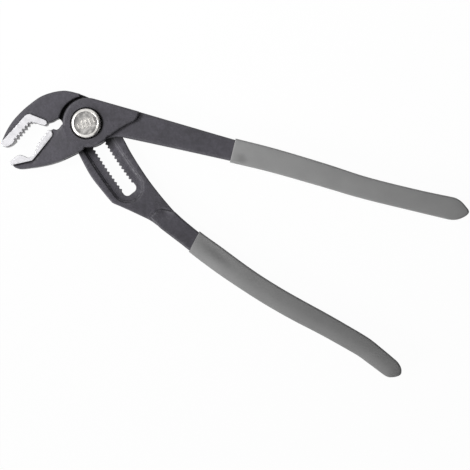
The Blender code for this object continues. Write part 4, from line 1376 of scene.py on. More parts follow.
def places_of(obj):
    """The object's points, as rows."""
    places = np.empty(len(obj.data.vertices) * 3, np.float32)
    obj.data.vertices.foreach_get("co", places)
    return places.reshape(-1, 3).astype(float)


def gather_soot(obj, plates, trenches=(), dents=(), over=None, bore=0.0):
    """Stores painted shade: how dark each point is painted beside its forging's steps, in place of
    the shade there.

    The shade is painted too in trenches and dents and round a cheek that lies over the forging,
    and the button's shadow is painted on the shaded side of its bore.
    """
    places = places_of(obj)
    flat, height = places[:, :2], places[:, 2]
    front = height > MIDDLE
    clear = np.ones(len(places))
    within = np.max([distance_to(flat, plate.outline) for plate in plates], axis=0)
    # Painted shade in the dents
    for dent in dents:
        clear *= 1 - DENT_PAINTED_SHADE * sinking(flat, dent) / dent.depth
    # Painted shadow of the button, on the shaded side of its bore
    if bore:
        reach = (np.hypot(*flat.T) - bore) / BORE_REACH
        shaded = np.clip(places[:, 0] / bore, 0, 1)
        clear *= 1 - BORE_PAINTED_SHADOW * shaded * np.clip(1 - reach, 0, 1) * (reach > -1) * front
    # Painted shadow of the cheek, another piece, where it lies over the forging
    if over is not None:
        away = np.clip(1 + distance_to(flat, over) / OVER_REACH, 0, 1)
        clear *= 1 - away * (height < JAW_HIGH - OVER_DEPTH)
    # Painted shade at the foot of each step and in the trenches
    for shape in (*plates, *trenches):
        sunken = isinstance(shape, Recess)
        step = plates[0] if sunken else shape
        away = distance_to(flat, shape.outline) * (1 if sunken else -1)
        away = np.where(away < 0, np.inf, away)
        below = np.where(front, step.high - height, height - step.low) - shape.edge
        drop = np.clip(below, 0, None)
        near = np.clip(1 - away / (PAINTED_SHADE_BASE + PAINTED_SHADE_SPREAD * drop), 0, 1)
        clear *= 1 - step.soot * np.clip(drop / PAINTED_SHADE_BASE, 0, 1) * near
    stored(obj, "soot", (1 - clear) * np.clip(within / PAINTED_SHADE_INSET, 0, 1))


def finished(obj, body, node):
    """Shades a piece, stores its wear and hangs it on its body in place of its node."""
    obj.data.shade_smooth()
    obj.data.set_sharp_from_angle(angle=SHARP_ANGLE)
    rub_edges(obj)
    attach(obj, body)
    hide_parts(node)


# Finishes


def feed(tree, value, socket):
    """Links an output to a socket, or writes a number, a vector or a colour on it."""
    if isinstance(value, bpy.types.NodeSocket):
        tree.links.new(value, socket)
    elif socket.type == "RGBA":
        socket.default_value = (*value, 1.0)
    else:
        socket.default_value = value


def placed(tree, kind, settings=None, **inputs):
    """A new node with its settings and its inputs, each a value or another node's output."""
    made = tree.nodes.new("ShaderNode" + kind)
    for name, value in (settings or {}).items():
        setattr(made, name, value)
    for name, value in inputs.items():
        feed(tree, value, made.inputs[name.replace("_", " ")])
    return made


def finish_named(name):
    """A new material, its node tree, its shader and the object's coordinates."""
    material = bpy.data.materials.new(name)
    material.use_nodes = True
    tree = material.node_tree
    place = placed(tree, "TexCoord").outputs["Object"]
    return material, tree, tree.nodes["Principled BSDF"], place


def shared(maker, finishes):
    """A finish that several pieces have, made for the first of them."""
    return bpy.data.materials.get(maker.__name__) or maker(finishes)


def shade_of(colour, share):
    """A share of a colour."""
    return tuple(share * level for level in colour)


def kept_value(tree, name):
    """The number that a piece keeps at each of its points under this name."""
    return placed(tree, "Attribute", {"attribute_name": name}).outputs["Fac"]


def speckle(tree, place, size, detail):
    """Noise whose patches are about this size."""
    return placed(
        tree, "TexNoise", Vector=place, Scale=1.0 / size, Detail=detail,
    ).outputs["Fac"]


def between(tree, value, span, shares=WHOLE):
    """The value brought from one range to another, and held within it."""
    return placed(
        tree, "MapRange", {"clamp": True}, Value=value,
        From_Min=span[0], From_Max=span[1], To_Min=shares[0], To_Max=shares[1],
    ).outputs["Result"]


def blend(tree, share, first, second):
    """A colour between two, each a colour or an output."""
    node = placed(tree, "Mix", {"data_type": "RGBA"})
    for socket, value in ((MIX_SHARE, share), (MIX_FIRST, first), (MIX_SECOND, second)):
        feed(tree, value, node.inputs[socket])
    return node.outputs[MIX_COLOUR]


def reckoned(tree, operation, *values):
    """The result of a sum on two values, each a number or an output."""
    node = placed(tree, "Math", {"operation": operation})
    for socket, value in zip(node.inputs, values):
        feed(tree, value, socket)
    return node.outputs[0]


def stretched(tree, place, scale, turn=0.0):
    """Coordinates pulled out along one direction, for drawn and ground marks."""
    return placed(
        tree, "Mapping", Vector=place, Rotation=(0.0, 0.0, turn), Scale=scale,
    ).outputs["Vector"]


def roughened(tree, shader, marks, spread, base=0.0):
    """Roughness that follows the marks from one end of its spread to the other."""
    low, high = spread
    rough = between(tree, marks, NOISE_SPAN, (base + low, base + high))
    feed(tree, rough, shader.inputs["Roughness"])


def rippled(tree, shader, *heights):
    """Bumps on the shader, from pairs of a height and its depth in metres."""
    normal = None
    for height, depth in heights:
        bump = placed(tree, "Bump", Height=height, Strength=1.0, Distance=depth)
        if normal is not None:
            feed(tree, normal, bump.inputs["Normal"])
        normal = bump.outputs["Normal"]
    feed(tree, normal, shader.inputs["Normal"])


def blackened_steel(finishes):
    """Oiled black oxide on a forged face: clouded, finely pitted, rubbed thin on its edges.

    Painted shade darkens it and dulls its reflections where the forging would lie in shade.
    """
    material, tree, shader, place = finish_named("blackened_steel")
    clouds = speckle(tree, place, *OXIDE_CLOUDS)
    patches = speckle(tree, place, *OXIDE_PATCHES)
    grain = speckle(tree, place, *OXIDE_GRAIN)
    pits = speckle(tree, place, *OXIDE_PITS)
    mottle = speckle(tree, place, *OXIDE_FLECKS)
    deep, colour = finishes.black_shade, finishes.black_colour
    oxide = blend(tree, between(tree, clouds, CLOUD_SPAN), deep, colour)
    paler = between(tree, patches, PATCH_SPAN, PATCH_SHARES)
    oxide = blend(tree, paler, oxide, shade_of(colour, PALE_OXIDE))
    oxide = blend(tree, between(tree, mottle, FLECK_SPAN, FLECK_SHARES), oxide, deep)
    worn = between(tree, kept_value(tree, "wear"), WEAR_SPAN, WEAR_SHARES)
    thin = reckoned(tree, "MULTIPLY", worn, between(tree, pits, PIT_SPAN, PIT_SHARES))
    oxide = blend(tree, thin, oxide, finishes.wear_colour)
    # Painted shade: darkens the oxide and dulls its reflections
    soot = kept_value(tree, "soot")
    oxide = blend(tree, between(tree, soot, PAINTED_SHADE_SPAN, PAINTED_SHADE_SHARES), oxide, finishes.soot_colour)
    feed(tree, oxide, shader.inputs["Base Color"])
    shine = between(tree, soot, PAINTED_SHADE_SPAN, (finishes.black_shine, PAINTED_SHADE_SHINE))
    feed(tree, shine, shader.inputs["Specular IOR Level"])
    roughened(tree, shader, patches, OXIDE_SPREAD, finishes.black_roughness)
    shader.inputs["Metallic"].default_value = finishes.black_metal
    rippled(tree, shader, (patches, OXIDE_DEPTH), (pits, OXIDE_DEPTH), (grain, GRAIN_DEPTH))
    return material


def ground_steel(finishes):
    """Bare steel from the grinding belt, with fine straight marks across the jaws."""
    material, tree, shader, place = finish_named("ground_steel")
    belt = stretched(tree, place, GROUND_STRETCH, GROUND_TURN)
    marks = speckle(tree, belt, *GROUND_MARKS)
    clouds = speckle(tree, place, *GROUND_CLOUDS)
    colour = finishes.land_colour
    tone = between(tree, marks, NOISE_SPAN, MARK_SHARES)
    ground = blend(tree, tone, shade_of(colour, DULL_GROUND), colour)
    feed(tree, ground, shader.inputs["Base Color"])
    roughened(tree, shader, clouds, GROUND_ROUGHNESS)
    shader.inputs["Metallic"].default_value = 1.0
    rippled(tree, shader, (clouds, GROUND_DEPTH), (marks, GRINDING_DEPTH))
    return material


def cut_steel(finishes):
    """Broached sides of the jaws: dull steel with darker stains."""
    material, tree, shader, place = finish_named("cut_steel")
    stain = speckle(tree, place, *CUT_STAINS)
    strokes = speckle(tree, stretched(tree, place, CUT_STRETCH), *CUT_STROKES)
    colour = finishes.cut_colour
    stained = blend(
        tree, between(tree, stain, STAIN_SPAN), colour, shade_of(colour, STAINED_CUT),
    )
    feed(tree, stained, shader.inputs["Base Color"])
    roughened(tree, shader, strokes, CUT_ROUGHNESS)
    shader.inputs["Metallic"].default_value = CUT_METAL
    rippled(tree, shader, (stain, STAIN_DEPTH), (strokes, STROKE_DEPTH))
    return material


def turned_metal(name, colour, roughness, mark_depth, painted_dish_shade=None):
    """Turned metal: fine rings round the axis under a slight haze, with painted shade in its
    hollows.
    """
    material, tree, shader, place = finish_named(name)
    lathe = placed(
        tree, "TexWave", {"wave_type": "RINGS", "rings_direction": "Z"}, Vector=place,
        **LATHE_RINGS,
    ).outputs["Fac"]
    haze = speckle(tree, place, *TURNED_HAZE)
    finish = blend(tree, between(tree, haze, HAZE_SPAN), shade_of(colour, DULL_TURNED), colour)
    if painted_dish_shade is not None:
        # Painted shade in the dish, broken up by stains
        stains = between(tree, speckle(tree, place, *DISH_STAINS), DISH_SPAN, DISH_SHARES)
        painted_dish_shade_share = reckoned(tree, "MULTIPLY", kept_value(tree, "soot"), stains)
        finish = blend(tree, painted_dish_shade_share, finish, painted_dish_shade)
    feed(tree, finish, shader.inputs["Base Color"])
    roughened(tree, shader, haze, TURNED_SPREAD, roughness)
    shader.inputs["Metallic"].default_value = 1.0
    rippled(tree, shader, (haze, HAZE_DEPTH), (lathe, mark_depth))
    return material


def turned_steel(finishes):
    """Bare turned steel of the bolt and the spring seat."""
    return turned_metal("turned_steel", finishes.bolt_colour, BOLT_ROUGHNESS, BOLT_MARKS)


def plated_button(finishes):
    """Bright plating on the button, with painted shade in its dish."""
    return turned_metal(
        "plated_button", finishes.plated_colour, PLATED_ROUGHNESS, PLATED_MARKS,
        finishes.dish_colour,
    )


def drawn_wire(finishes):
    """Drawn spring wire with faint lines from the die."""
    material, tree, shader, place = finish_named("drawn_wire")
    lines = speckle(tree, stretched(tree, place, WIRE_STRETCH), *WIRE_LINES)
    haze = speckle(tree, place, *WIRE_HAZE)
    colour = finishes.wire_colour
    wire = blend(tree, haze, shade_of(colour, DULL_WIRE), colour)
    feed(tree, wire, shader.inputs["Base Color"])
    roughened(tree, shader, lines, WIRE_ROUGHNESS)
    shader.inputs["Metallic"].default_value = 1.0
    rippled(tree, shader, (haze, HAZE_DEPTH), (lines, LINE_DEPTH))
    return material


def dipped_vinyl(name, painted_light_share, finishes):
    """Matt dipped vinyl: slow sags, a fine skin and painted shade in the hollow where it is
    pressed.
    """
    material, tree, shader, place = finish_named(name)
    # Painted light: a share above one pales the vinyl, in place of stronger light
    colour = shade_of(finishes.vinyl_colour, painted_light_share)
    handled = shade_of(colour, finishes.vinyl_handled)
    sags = speckle(tree, place, *VINYL_SAGS)
    skin = speckle(tree, place, *VINYL_SKIN)
    pores = speckle(tree, place, *VINYL_PORES)
    vinyl = blend(tree, between(tree, sags, HAZE_SPAN, SAG_SHARES), colour, handled)
    vinyl = blend(tree, between(tree, skin, SKIN_SPAN, SKIN_SHARES), vinyl, handled)
    # Painted shade in the pressed hollow
    pressed_shade = shade_of(handled, PRESSED_SHADE_VINYL)
    vinyl = blend(tree, kept_value(tree, "pressed"), vinyl, pressed_shade)
    feed(tree, vinyl, shader.inputs["Base Color"])
    roughened(tree, shader, sags, VINYL_SPREAD, finishes.vinyl_roughness)
    shader.inputs["Specular IOR Level"].default_value = VINYL_SHINE
    rippled(tree, shader, (sags, SAG_DEPTH), (skin, SKIN_DEPTH), (pores, PORE_DEPTH))
    return material


def seen_directly(tree):
    """One for rays from the camera, from reflections and through glass, and else nought."""
    path = placed(tree, "LightPath")
    seen = path.outputs["Is Camera Ray"]
    for name in ("Is Glossy Ray", "Is Transmission Ray"):
        seen = reckoned(tree, "MAXIMUM", seen, path.outputs[name])
    return seen


def floor_finish(finishes, glow):
    """Pale floor that keeps shadows but shows white to the camera."""
    material, tree, shader, place = finish_named("pale_floor")
    colour = finishes.floor_colour
    weave = speckle(tree, place, *FLOOR_WEAVE)
    woven = blend(tree, weave, shade_of(colour, WOVEN_FLOOR), colour)
    feed(tree, woven, shader.inputs["Base Color"])
    shader.inputs["Roughness"].default_value = FLOOR_ROUGHNESS
    shader.inputs["Specular IOR Level"].default_value = FLOOR_SHINE
    white = placed(tree, "Emission", Color=WHITE, Strength=1.0)
    mix = placed(tree, "MixShader")
    sources = (
        reckoned(tree, "MULTIPLY", seen_directly(tree), glow), shader.outputs[0], white.outputs[0],
    )
    for source, socket in zip(sources, mix.inputs):
        feed(tree, source, socket)
    feed(tree, mix.outputs[0], tree.nodes["Material Output"].inputs["Surface"])
    return material


# Pieces


class PLIERS_OT_slotted_lever(bpy.types.Operator):
    """Forge the lever with the upper jaw, the toothed slot and the lower handle."""

    bl_idname = "pliers.slotted_lever"
    bl_label = "Slotted lever"

    def execute(self, context):
        sizes, finishes = context.scene.pliers_sizes, context.scene.pliers_finishes
        half_handle, half_land = HANDLE_THICKNESS / 2, LAND_THICKNESS / 2
        half_panel, deep = PANEL_THICKNESS / 2, sizes.trench_depth
        plates = (
            Plate(divided(rail_outline(), sizes), RAIL_LOW, RAIL_HIGH,
                  sizes.rail_edge, sizes.rail_edge, sizes.foot),
            Plate(divided(lower_core(), sizes), MIDDLE - half_handle, MIDDLE + half_handle,
                  sizes.handle_edge, sizes.handle_edge, sizes.foot, soot=0.0),
            Plate(divided(upper_jaw_outline(), sizes), JAW_LOW, JAW_HIGH,
                  sizes.jaw_edge, sizes.jaw_edge, sizes.foot),
            Plate(divided(upper_land_outline(), sizes), MIDDLE - half_land, MIDDLE + half_land,
                  sizes.land_edge, sizes.land_edge, sizes.land_edge, np.array(upper_teeth()),
                  ground=True),
        )
        panel = Recess(divided(on_track(panel_outline()), sizes), MIDDLE - half_panel,
                       MIDDLE + half_panel, sizes.recess_edge, sizes.foot / 2, PANEL_DRAFT)
        trench = Recess(divided(trench_outline(), sizes), RAIL_LOW + deep, RAIL_HIGH - deep,
                        WALL_RUN, WALL_RUN, WALL_RUN)
        slot = divided(on_track(slot_outline()), sizes)
        hollow = Dent(on_track([HOLLOW_PLACE])[0], HOLLOW_LENGTH, HOLLOW_WIDTH,
                      HOLLOW_HEADING, HOLLOW_DEPTH)
        steels = [
            shared(maker, finishes) for maker in (blackened_steel, ground_steel, cut_steel)
        ]
        lever = forging(
            "slotted_lever_forging", sizes, plates, (panel, trench), (slot,), (hollow,),
            side_slot=CUT_SLOT, materials=steels,
        )
        # Painted shade beside the steps, in the trench and the hollow, and the cheek's painted
        # shadow
        gather_soot(lever, plates, (trench,), (hollow,), divided(cheek_outline(), sizes))
        finished(lever, "slotted_lever", "slotted_lever")
        return {"FINISHED"}


class PLIERS_OT_pivot_lever(bpy.types.Operator):
    """Forge the lever with the lower jaw, the two cheeks and the upper handle."""

    bl_idname = "pliers.pivot_lever"
    bl_label = "Pivot lever"

    def execute(self, context):
        sizes, finishes = context.scene.pliers_sizes, context.scene.pliers_finishes
        half_handle = HANDLE_THICKNESS / 2
        flared = BUTTON_RADIUS + RUNNING_GAP + sizes.bore_flare + sizes.bore_edge
        head = BOLT_HEAD_RADIUS + RUNNING_GAP
        plates = (
            Plate(divided(upper_core(), sizes), MIDDLE - half_handle, MIDDLE + half_handle,
                  sizes.handle_edge, sizes.handle_edge, sizes.foot),
            Plate(divided(lower_jaw_outline(), sizes), JAW_LOW, JAW_HIGH,
                  sizes.jaw_edge, sizes.jaw_edge, sizes.foot, rises=True),
            Plate(divided(lower_land_outline(), sizes), 0.0, CHEEK_TOP + sizes.land_edge,
                  sizes.land_edge, sizes.land_edge, sizes.land_edge, ground=True),
            Plate(divided(cheek_outline(), sizes), 0.0, CHEEK_TOP,
                  sizes.cheek_edge, sizes.cheek_rear_edge, sizes.foot / 2, soot=STEP_PAINTED_SHADE),
        )
        steels = [shared(maker, finishes) for maker in (blackened_steel, ground_steel)]
        lever = forging(
            "pivot_lever_forging", sizes, plates, bores=(flared, head + sizes.bore_edge),
            side_slot=GROUND_SLOT, materials=steels,
        )
        window = prism("window", window_outline(), REAR_CHEEK_THICKNESS, CHEEK_INNER_HIGH)
        rim = sizes.bore_edge
        wide, open_top = BUTTON_RADIUS + RUNNING_GAP, CHEEK_TOP + BUTTON_PROUD
        counterbore = turned("counterbore", [
            (0.0, COUNTERBORE_FLOOR), (wide, COUNTERBORE_FLOOR),
            (wide, CHEEK_TOP - sizes.bore_flare_depth), (flared - rim, CHEEK_TOP - rim),
            *arc((flared, CHEEK_TOP - rim), rim, math.pi, math.pi / 2)[1:],
            (flared, open_top), (0.0, open_top),
        ])
        narrow = SHANK_RADIUS + RUNNING_GAP
        shank_bore = turned("shank_bore", (
            (0.0, MIDDLE), (narrow, MIDDLE), (narrow, CHEEK_TOP), (0.0, CHEEK_TOP),
        ))
        head_bore = turned("head_bore", [
            (0.0, -open_top), (head + rim, -open_top), (head + rim, 0.0),
            *arc((head + rim, rim), rim, -math.pi / 2, -math.pi)[1:],
            (head, MIDDLE), (0.0, MIDDLE),
        ])
        combine(lever, removed=(window, counterbore, shank_bore, head_bore))
        # Painted shade beside the steps, and the button's painted shadow beside its bore
        gather_soot(lever, plates, bore=flared)
        finished(lever, "pivot_lever", "pivot_lever")
        return {"FINISHED"}


class PLIERS_OT_grips(bpy.types.Operator):
    """Dip both handles in grey vinyl."""

    bl_idname = "pliers.grips"
    bl_label = "Grips"

    def execute(self, context):
        sizes, finishes = context.scene.pliers_sizes, context.scene.pliers_finishes
        upper = turned_by(bar(upper_sleeve(), UPPER_END_SHARES), UPPER_HANDLE_HEADING)
        lower = on_track(bar(lower_sleeve(), LOWER_END_SHARES, slant=LOWER_MOUTH_SLANT))
        for name, outline, core, body, press in (
            ("upper_grip", upper, upper_core(), "pivot_lever", UPPER_PRESS),
            ("lower_grip", lower, lower_core(), "slotted_lever", LOWER_PRESS),
        ):
            leaning = body == "slotted_lever"
            # Painted light: the upper sleeve's vinyl is made paler, in place of the stronger light
            # on it
            painted_light_share = 1.0 if leaning else finishes.vinyl_faded
            vinyl = dipped_vinyl(name + "_vinyl", painted_light_share, finishes)
            sleeve = self.sleeve(name + "_sleeve", outline, leaning, press, sizes, vinyl)
            half = HANDLE_THICKNESS / 2 + sizes.grip_cling
            room = Plate(
                divided(moved_out(core, sizes.grip_cling), sizes), MIDDLE - half, MIDDLE + half,
                sizes.handle_edge, sizes.handle_edge, 0.0,
            )
            hollow = forging(name + "_room", sizes, (room,))
            combine(sleeve, removed=(hollow,))
            # The pressed hollow on the sleeve's front, where the finish paints shade
            places = places_of(sleeve)
            sunken = sinking(places[:, :2], press) / press.depth
            stored(sleeve, "pressed", sunken * (places[:, 2] > MIDDLE))
            finished(sleeve, body, name)
        return {"FINISHED"}

    def sleeve(self, name, outline, leaning, press, sizes, vinyl):
        """A sleeve rolled over along its sides and end, with a small lip round its mouth.

        The outer flank of a leaning sleeve slopes away.
        """
        closed = divided(outline, sizes)
        sides = divided(outline, sizes, closed=False)
        sides = sides[: np.argmin(np.hypot(*(sides - np.array(outline[-1])).T)) + 1]
        mouth = np.array((outline[-1], outline[0]))
        mouth = mouth[0] + (mouth[1] - mouth[0]) * np.linspace(0, 1, 2 * BAR_STEPS)[:, None]
        loose = [grid([closed], sizes.grid_step)]
        loose += rings(sides, sizes.grip_roll * np.array(ROLL_SHARES), closed=False)
        loose += rings(mouth, quarters(sizes.grip_lip), closed=False)
        loose = np.concatenate(loose)
        loose = loose[distance_to(loose, closed) > CLEAR_OF_LINES]
        points, triangles, owners = triangulated([closed], loose)
        kept = [triangle for triangle, own in zip(triangles, owners) if own]
        aside = distance_to(points, sides, closed=False)
        ahead = distance_to(points, mouth, closed=False)
        half = HANDLE_THICKNESS / 2 + RUNNING_GAP + GRIP_FACE_WALL
        slope = np.clip(1 - aside / (GRIP_WIDTH / 2), 0, 1) ** 2
        height = half - quarter(aside, sizes.grip_roll) - sizes.grip_crown * slope
        height -= quarter(ahead, sizes.grip_lip)
        if leaning:
            halves = np.array_split(sides, 2)
            outer = min(halves, key=lambda half_line: half_line.sum(axis=1).mean())
            flank = np.clip(1 - distance_to(points, outer, closed=False) / sizes.grip_flank, 0, 1)
            height -= sizes.grip_lean * flank**2
        front = MIDDLE + height - sinking(points, press)
        slots = [0] * len(kept)
        return slab(name, points, kept, slots, front, MIDDLE - height, (vinyl,))


class PLIERS_OT_locking_bolt(bpy.types.Operator):
    """Turn the locking bolt and cut the teeth of its block."""

    bl_idname = "pliers.locking_bolt"
    bl_label = "Locking bolt"

    def execute(self, context):
        finishes, rim = context.scene.pliers_finishes, context.scene.pliers_sizes.bore_edge
        bolt = turned("locking_bolt_steel", [
            (0.0, 0.0),
            *arc((BOLT_HEAD_RADIUS - rim, rim), rim, -math.pi / 2, 0.0),
            (BOLT_HEAD_RADIUS, BLOCK_LOW), (0.0, BLOCK_LOW),
        ], (shared(turned_steel, finishes),))
        block = prism("block", on_track(block_outline()), BLOCK_LOW - RUNNING_GAP, BLOCK_HIGH)
        shoulder = BUTTON_UNDERSIDE - RUNNING_GAP
        shank = turned("shank", (
            (0.0, MIDDLE), (SHANK_RADIUS, MIDDLE), (SHANK_RADIUS, shoulder),
            (TENON_RADIUS, shoulder), (TENON_RADIUS, shoulder + TENON_LENGTH),
            (0.0, shoulder + TENON_LENGTH),
        ))
        combine(bolt, added=(block, shank))
        finished(bolt, "locking_bolt", "locking_bolt")
        return {"FINISHED"}


class PLIERS_OT_push_button(bpy.types.Operator):
    """Turn the plated button and rib its dish."""

    bl_idname = "pliers.push_button"
    bl_label = "Push button"

    def execute(self, context):
        sizes, finishes = context.scene.pliers_sizes, context.scene.pliers_finishes
        skirt, socket = BUTTON_RADIUS - BUTTON_WALL, TENON_RADIUS + RUNNING_GAP
        socket_top = BUTTON_UNDERSIDE + TENON_LENGTH
        edge, lip = sizes.button_edge, sizes.button_lip
        floor = BUTTON_TOP - DISH_DEPTH
        cap = turned("push_button_cap", [
            (0.0, socket_top), (socket, socket_top), (socket, BUTTON_UNDERSIDE),
            (skirt, BUTTON_UNDERSIDE), (skirt, BUTTON_LOW), (BUTTON_RADIUS - lip, BUTTON_LOW),
            (BUTTON_RADIUS, BUTTON_LOW + lip),
            *arc((BUTTON_RADIUS - edge, BUTTON_TOP - edge), edge, 0.0, math.pi / 2)[::RIM_SKIP],
            *arc((DISH_RADIUS + lip, BUTTON_TOP - lip), lip, math.pi / 2, math.pi)[::DISH_SKIP],
            *arc((DISH_RADIUS - lip, floor + lip), lip, 0.0, -math.pi / 2)[::DISH_SKIP],
            (0.0, floor),
        ], (plated_button(finishes),))
        combine(cap, added=(self.ribs(floor, sizes),))
        # Painted shade on the dish's floor below the ribs' tops, darkest beside the dish's rim
        places = places_of(cap)
        low = places[:, 2] < floor + sizes.rib_height / 2
        reach = np.hypot(*places[:, :2].T) / DISH_RADIUS
        stored(cap, "soot", low * (reach < 1) * (DISH_PAINTED_SHADE + (1 - DISH_PAINTED_SHADE) * reach**2))
        finished(cap, "locking_bolt", "push_button")
        return {"FINISHED"}

    def ribs(self, floor, sizes):
        """A band of low round-ended ribs across the dish, shorter towards its sides."""
        bm = bmesh.new()
        for i in range(-RIBS_ASIDE, RIBS_ASIDE + 1):
            length = sizes.rib_length * (1 - RIB_TAPER * (i / RIBS_ASIDE) ** 2)
            self.rib(bm, i * sizes.rib_pitch, length / 2, floor, sizes)
        bmesh.ops.rotate(
            bm, verts=bm.verts, cent=(0.0, 0.0, 0.0), matrix=Matrix.Rotation(RIBS_TURN, 3, "Z"),
        )
        return from_bmesh("ribs", bm, ())

    def rib(self, bm, x, half_length, floor, sizes):
        """One rib: a low rounded bar with its foot sunk into the dish."""
        loops = []
        for wide, high in RIB_LEVELS:
            radius = wide * sizes.rib_width / 2
            reach = half_length - sizes.rib_width / 2
            ends = arc((x, reach), radius, 0.0, math.pi)[::RIB_SKIP]
            ends += [(2 * x - px, -py) for px, py in ends]
            loops.append([bm.verts.new((*p, floor + high * sizes.rib_height)) for p in ends])
        lofted(bm, loops)


class PLIERS_OT_spring(bpy.types.Operator):
    """Wind the return spring and press its seat."""

    bl_idname = "pliers.spring"
    bl_label = "Return spring"

    def execute(self, context):
        finishes = context.scene.pliers_finishes
        inner, edge = SHANK_RADIUS + RUNNING_GAP, SEAT_THICKNESS / 4
        seat = turned("spring_seat_washer", (
            (inner, SEAT_LOW), (BUTTON_RADIUS - edge, SEAT_LOW), (BUTTON_RADIUS, SEAT_LOW + edge),
            (BUTTON_RADIUS, SEAT_HIGH - edge), (BUTTON_RADIUS - edge, SEAT_HIGH),
            (inner, SEAT_HIGH),
        ), (shared(turned_steel, finishes),))
        finished(seat, "spring_seat", "spring_seat")
        spring = self.wire("return_spring_coil", self.coil(), drawn_wire(finishes))
        finished(spring, "spring_seat", "return_spring")
        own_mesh(spring)
        return {"FINISHED"}

    def coil(self):
        """Centre line of the conical coil, from the seat up to the button."""
        low = SEAT_HIGH + RUNNING_GAP + SPRING_WIRE / 2
        high = BUTTON_UNDERSIDE - RUNNING_GAP - SPRING_WIRE / 2
        steps = round(SPRING_TURNS * SPRING_POINTS_PER_TURN)
        path = []
        for i in range(steps + 1):
            share = i / steps
            radius = SPRING_SMALL_RADIUS + (SPRING_LARGE_RADIUS - SPRING_SMALL_RADIUS) * share
            angle = math.tau * SPRING_TURNS * share
            path.append(Vector((
                radius * math.cos(angle), radius * math.sin(angle), low + (high - low) * share,
            )))
        return path

    def wire(self, name, path, material):
        """A round wire along a path, closed at both ends."""
        bm = bmesh.new()
        loops = []
        for i, place in enumerate(path):
            run = (path[min(i + 1, len(path) - 1)] - path[max(i - 1, 0)]).normalized()
            out = Vector((place.x, place.y, 0.0)).normalized()
            up = run.cross(out).normalized()
            out = up.cross(run)
            loops.append([
                bm.verts.new(place + (out * math.cos(a) + up * math.sin(a)) * SPRING_WIRE / 2)
                for a in (math.tau * side / WIRE_SIDES for side in range(WIRE_SIDES))
            ])
        lofted(bm, loops)
        bmesh.ops.recalc_face_normals(bm, faces=bm.faces)
        return from_bmesh(name, bm, (material,))


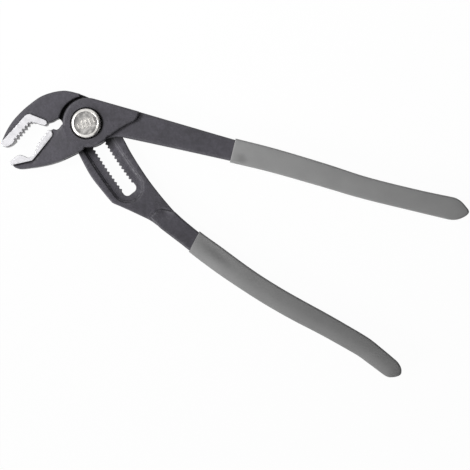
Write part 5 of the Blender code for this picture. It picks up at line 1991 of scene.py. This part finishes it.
class PLIERS_OT_stage(bpy.types.Operator):
    """Lay the floor, hang the lamps and set the camera."""

    bl_idname = "pliers.stage"
    bl_label = "Floor, lamps and camera"

    def execute(self, context):
        stage, finishes = context.scene.pliers_stage, context.scene.pliers_finishes
        self.floor(stage, finishes)
        self.camera(context, stage)
        self.sky(context, stage)
        aim = Vector(stage.view_centre)
        key = self.lamp(
            context, "key_lamp", "AREA", aim + Vector(KEY_PLACE), aim, stage.key_power,
        )
        key.shape = "DISK"
        key.size = stage.lamp_size
        top = self.lamp(
            context, "top_lamp", "SPOT", Vector(TOP_PLACE), Vector(TOP_AIM), stage.top_power,
        )
        top.spot_size = stage.top_beam
        top.spot_blend = 1.0
        top.shadow_soft_size = stage.top_softness
        self.flag(aim, stage)
        context.scene.view_settings.view_transform = "Standard"
        return {"FINISHED"}

    def floor(self, stage, finishes):
        """A wide floor just below the tool."""
        half, low = stage.floor_size / 2, -RUNNING_GAP
        corners = ((-half, -half, low), (half, -half, low), (half, half, low), (-half, half, low))
        floor = self.sheet("floor", corners, floor_finish(finishes, stage.floor_glow))

    def flag(self, aim, stage):
        """A dark card beside the object, hidden from the camera, that shades and reflects."""
        side, top = aim.x + stage.flag_distance, stage.flag_height
        near, far = aim.y - FLAG_LENGTH / 2, aim.y + FLAG_LENGTH / 2
        material, tree, shader, place = finish_named("dark_card")
        felt = blend(tree, speckle(tree, place, *FELT_MARKS), FELT_DARK, FELT_PALE)
        feed(tree, felt, shader.inputs["Base Color"])
        shader.inputs["Roughness"].default_value = 1.0
        shader.inputs["Specular IOR Level"].default_value = 0.0
        corners = ((side, near, 0.0), (side, far, 0.0), (side, far, top), (side, near, top))
        flag = self.sheet("flag", corners, material)
        flag.visible_camera = False

    def sheet(self, name, corners, material):
        """One flat face with four corners."""
        mesh = bpy.data.meshes.new(name)
        mesh.from_pydata(corners, [], [(0, 1, 2, 3)])
        return new_object(name, mesh, (material,))

    def camera(self, context, stage):
        """A camera that looks straight down on the view's centre."""
        data = bpy.data.cameras.new("camera")
        data.sensor_width = stage.sensor
        data.lens = stage.sensor * stage.camera_distance / stage.view_width
        camera = bpy.data.objects.new("camera", data)
        camera.location = Vector(stage.view_centre) + Vector((0.0, 0.0, stage.camera_distance))
        context.scene.collection.objects.link(camera)
        context.scene.camera = camera

    def sky(self, context, stage):
        """Even light from all round, white where the camera or a reflection sees it."""
        world = bpy.data.worlds.new("even_light")
        world.use_nodes = True
        tree = world.node_tree
        background = tree.nodes["Background"]
        feed(tree, WHITE, background.inputs["Color"])
        strength = between(tree, seen_directly(tree), WHOLE, (stage.sky_level, 1.0))
        feed(tree, strength, background.inputs["Strength"])
        context.scene.world = world

    def lamp(self, context, name, kind, place, aim, power):
        """A lamp turned towards a point; gives its settings."""
        data = bpy.data.lights.new(name, kind)
        data.energy = power
        lamp = bpy.data.objects.new(name, data)
        lamp.location = place
        lamp.rotation_euler = (aim - place).to_track_quat("-Z", "Y").to_euler()
        context.scene.collection.objects.link(lamp)
        return data


PIECE_OPERATORS = (
    PLIERS_OT_slotted_lever, PLIERS_OT_pivot_lever, PLIERS_OT_grips, PLIERS_OT_locking_bolt,
    PLIERS_OT_push_button, PLIERS_OT_spring, PLIERS_OT_stage,
)


class PLIERS_PT_panel(bpy.types.Panel):
    """Lists the pieces in the order they are made."""

    bl_idname = "PLIERS_PT_panel"
    bl_label = "Water pump pliers"
    bl_space_type = "VIEW_3D"
    bl_region_type = "UI"
    bl_category = "Pliers"

    def draw(self, context):
        for operator in PIECE_OPERATORS:
            self.layout.operator(operator.bl_idname)
        for group in (
            context.scene.pliers_sizes, context.scene.pliers_finishes, context.scene.pliers_stage,
        ):
            box = self.layout.box()
            for name in group.__annotations__:
                box.prop(group, name)


CLASSES = (PliersSizes, PliersFinishes, PliersStage, *PIECE_OPERATORS, PLIERS_PT_panel)


def register():
    """Registers the classes and hangs their settings on the scene."""
    for cls in CLASSES:
        bpy.utils.register_class(cls)
    bpy.types.Scene.pliers_sizes = PointerProperty(type=PliersSizes)
    bpy.types.Scene.pliers_finishes = PointerProperty(type=PliersFinishes)
    bpy.types.Scene.pliers_stage = PointerProperty(type=PliersStage)


def unregister():
    """Takes the settings and the classes away again."""
    del bpy.types.Scene.pliers_stage
    del bpy.types.Scene.pliers_finishes
    del bpy.types.Scene.pliers_sizes
    for cls in reversed(CLASSES):
        bpy.utils.unregister_class(cls)


def main():
    """Makes every piece and the stage."""
    register()
    bpy.ops.pliers.slotted_lever()
    bpy.ops.pliers.pivot_lever()
    bpy.ops.pliers.grips()
    bpy.ops.pliers.locking_bolt()
    bpy.ops.pliers.push_button()
    bpy.ops.pliers.spring()
    bpy.ops.pliers.stage()


if __name__ == "__main__":
    main()
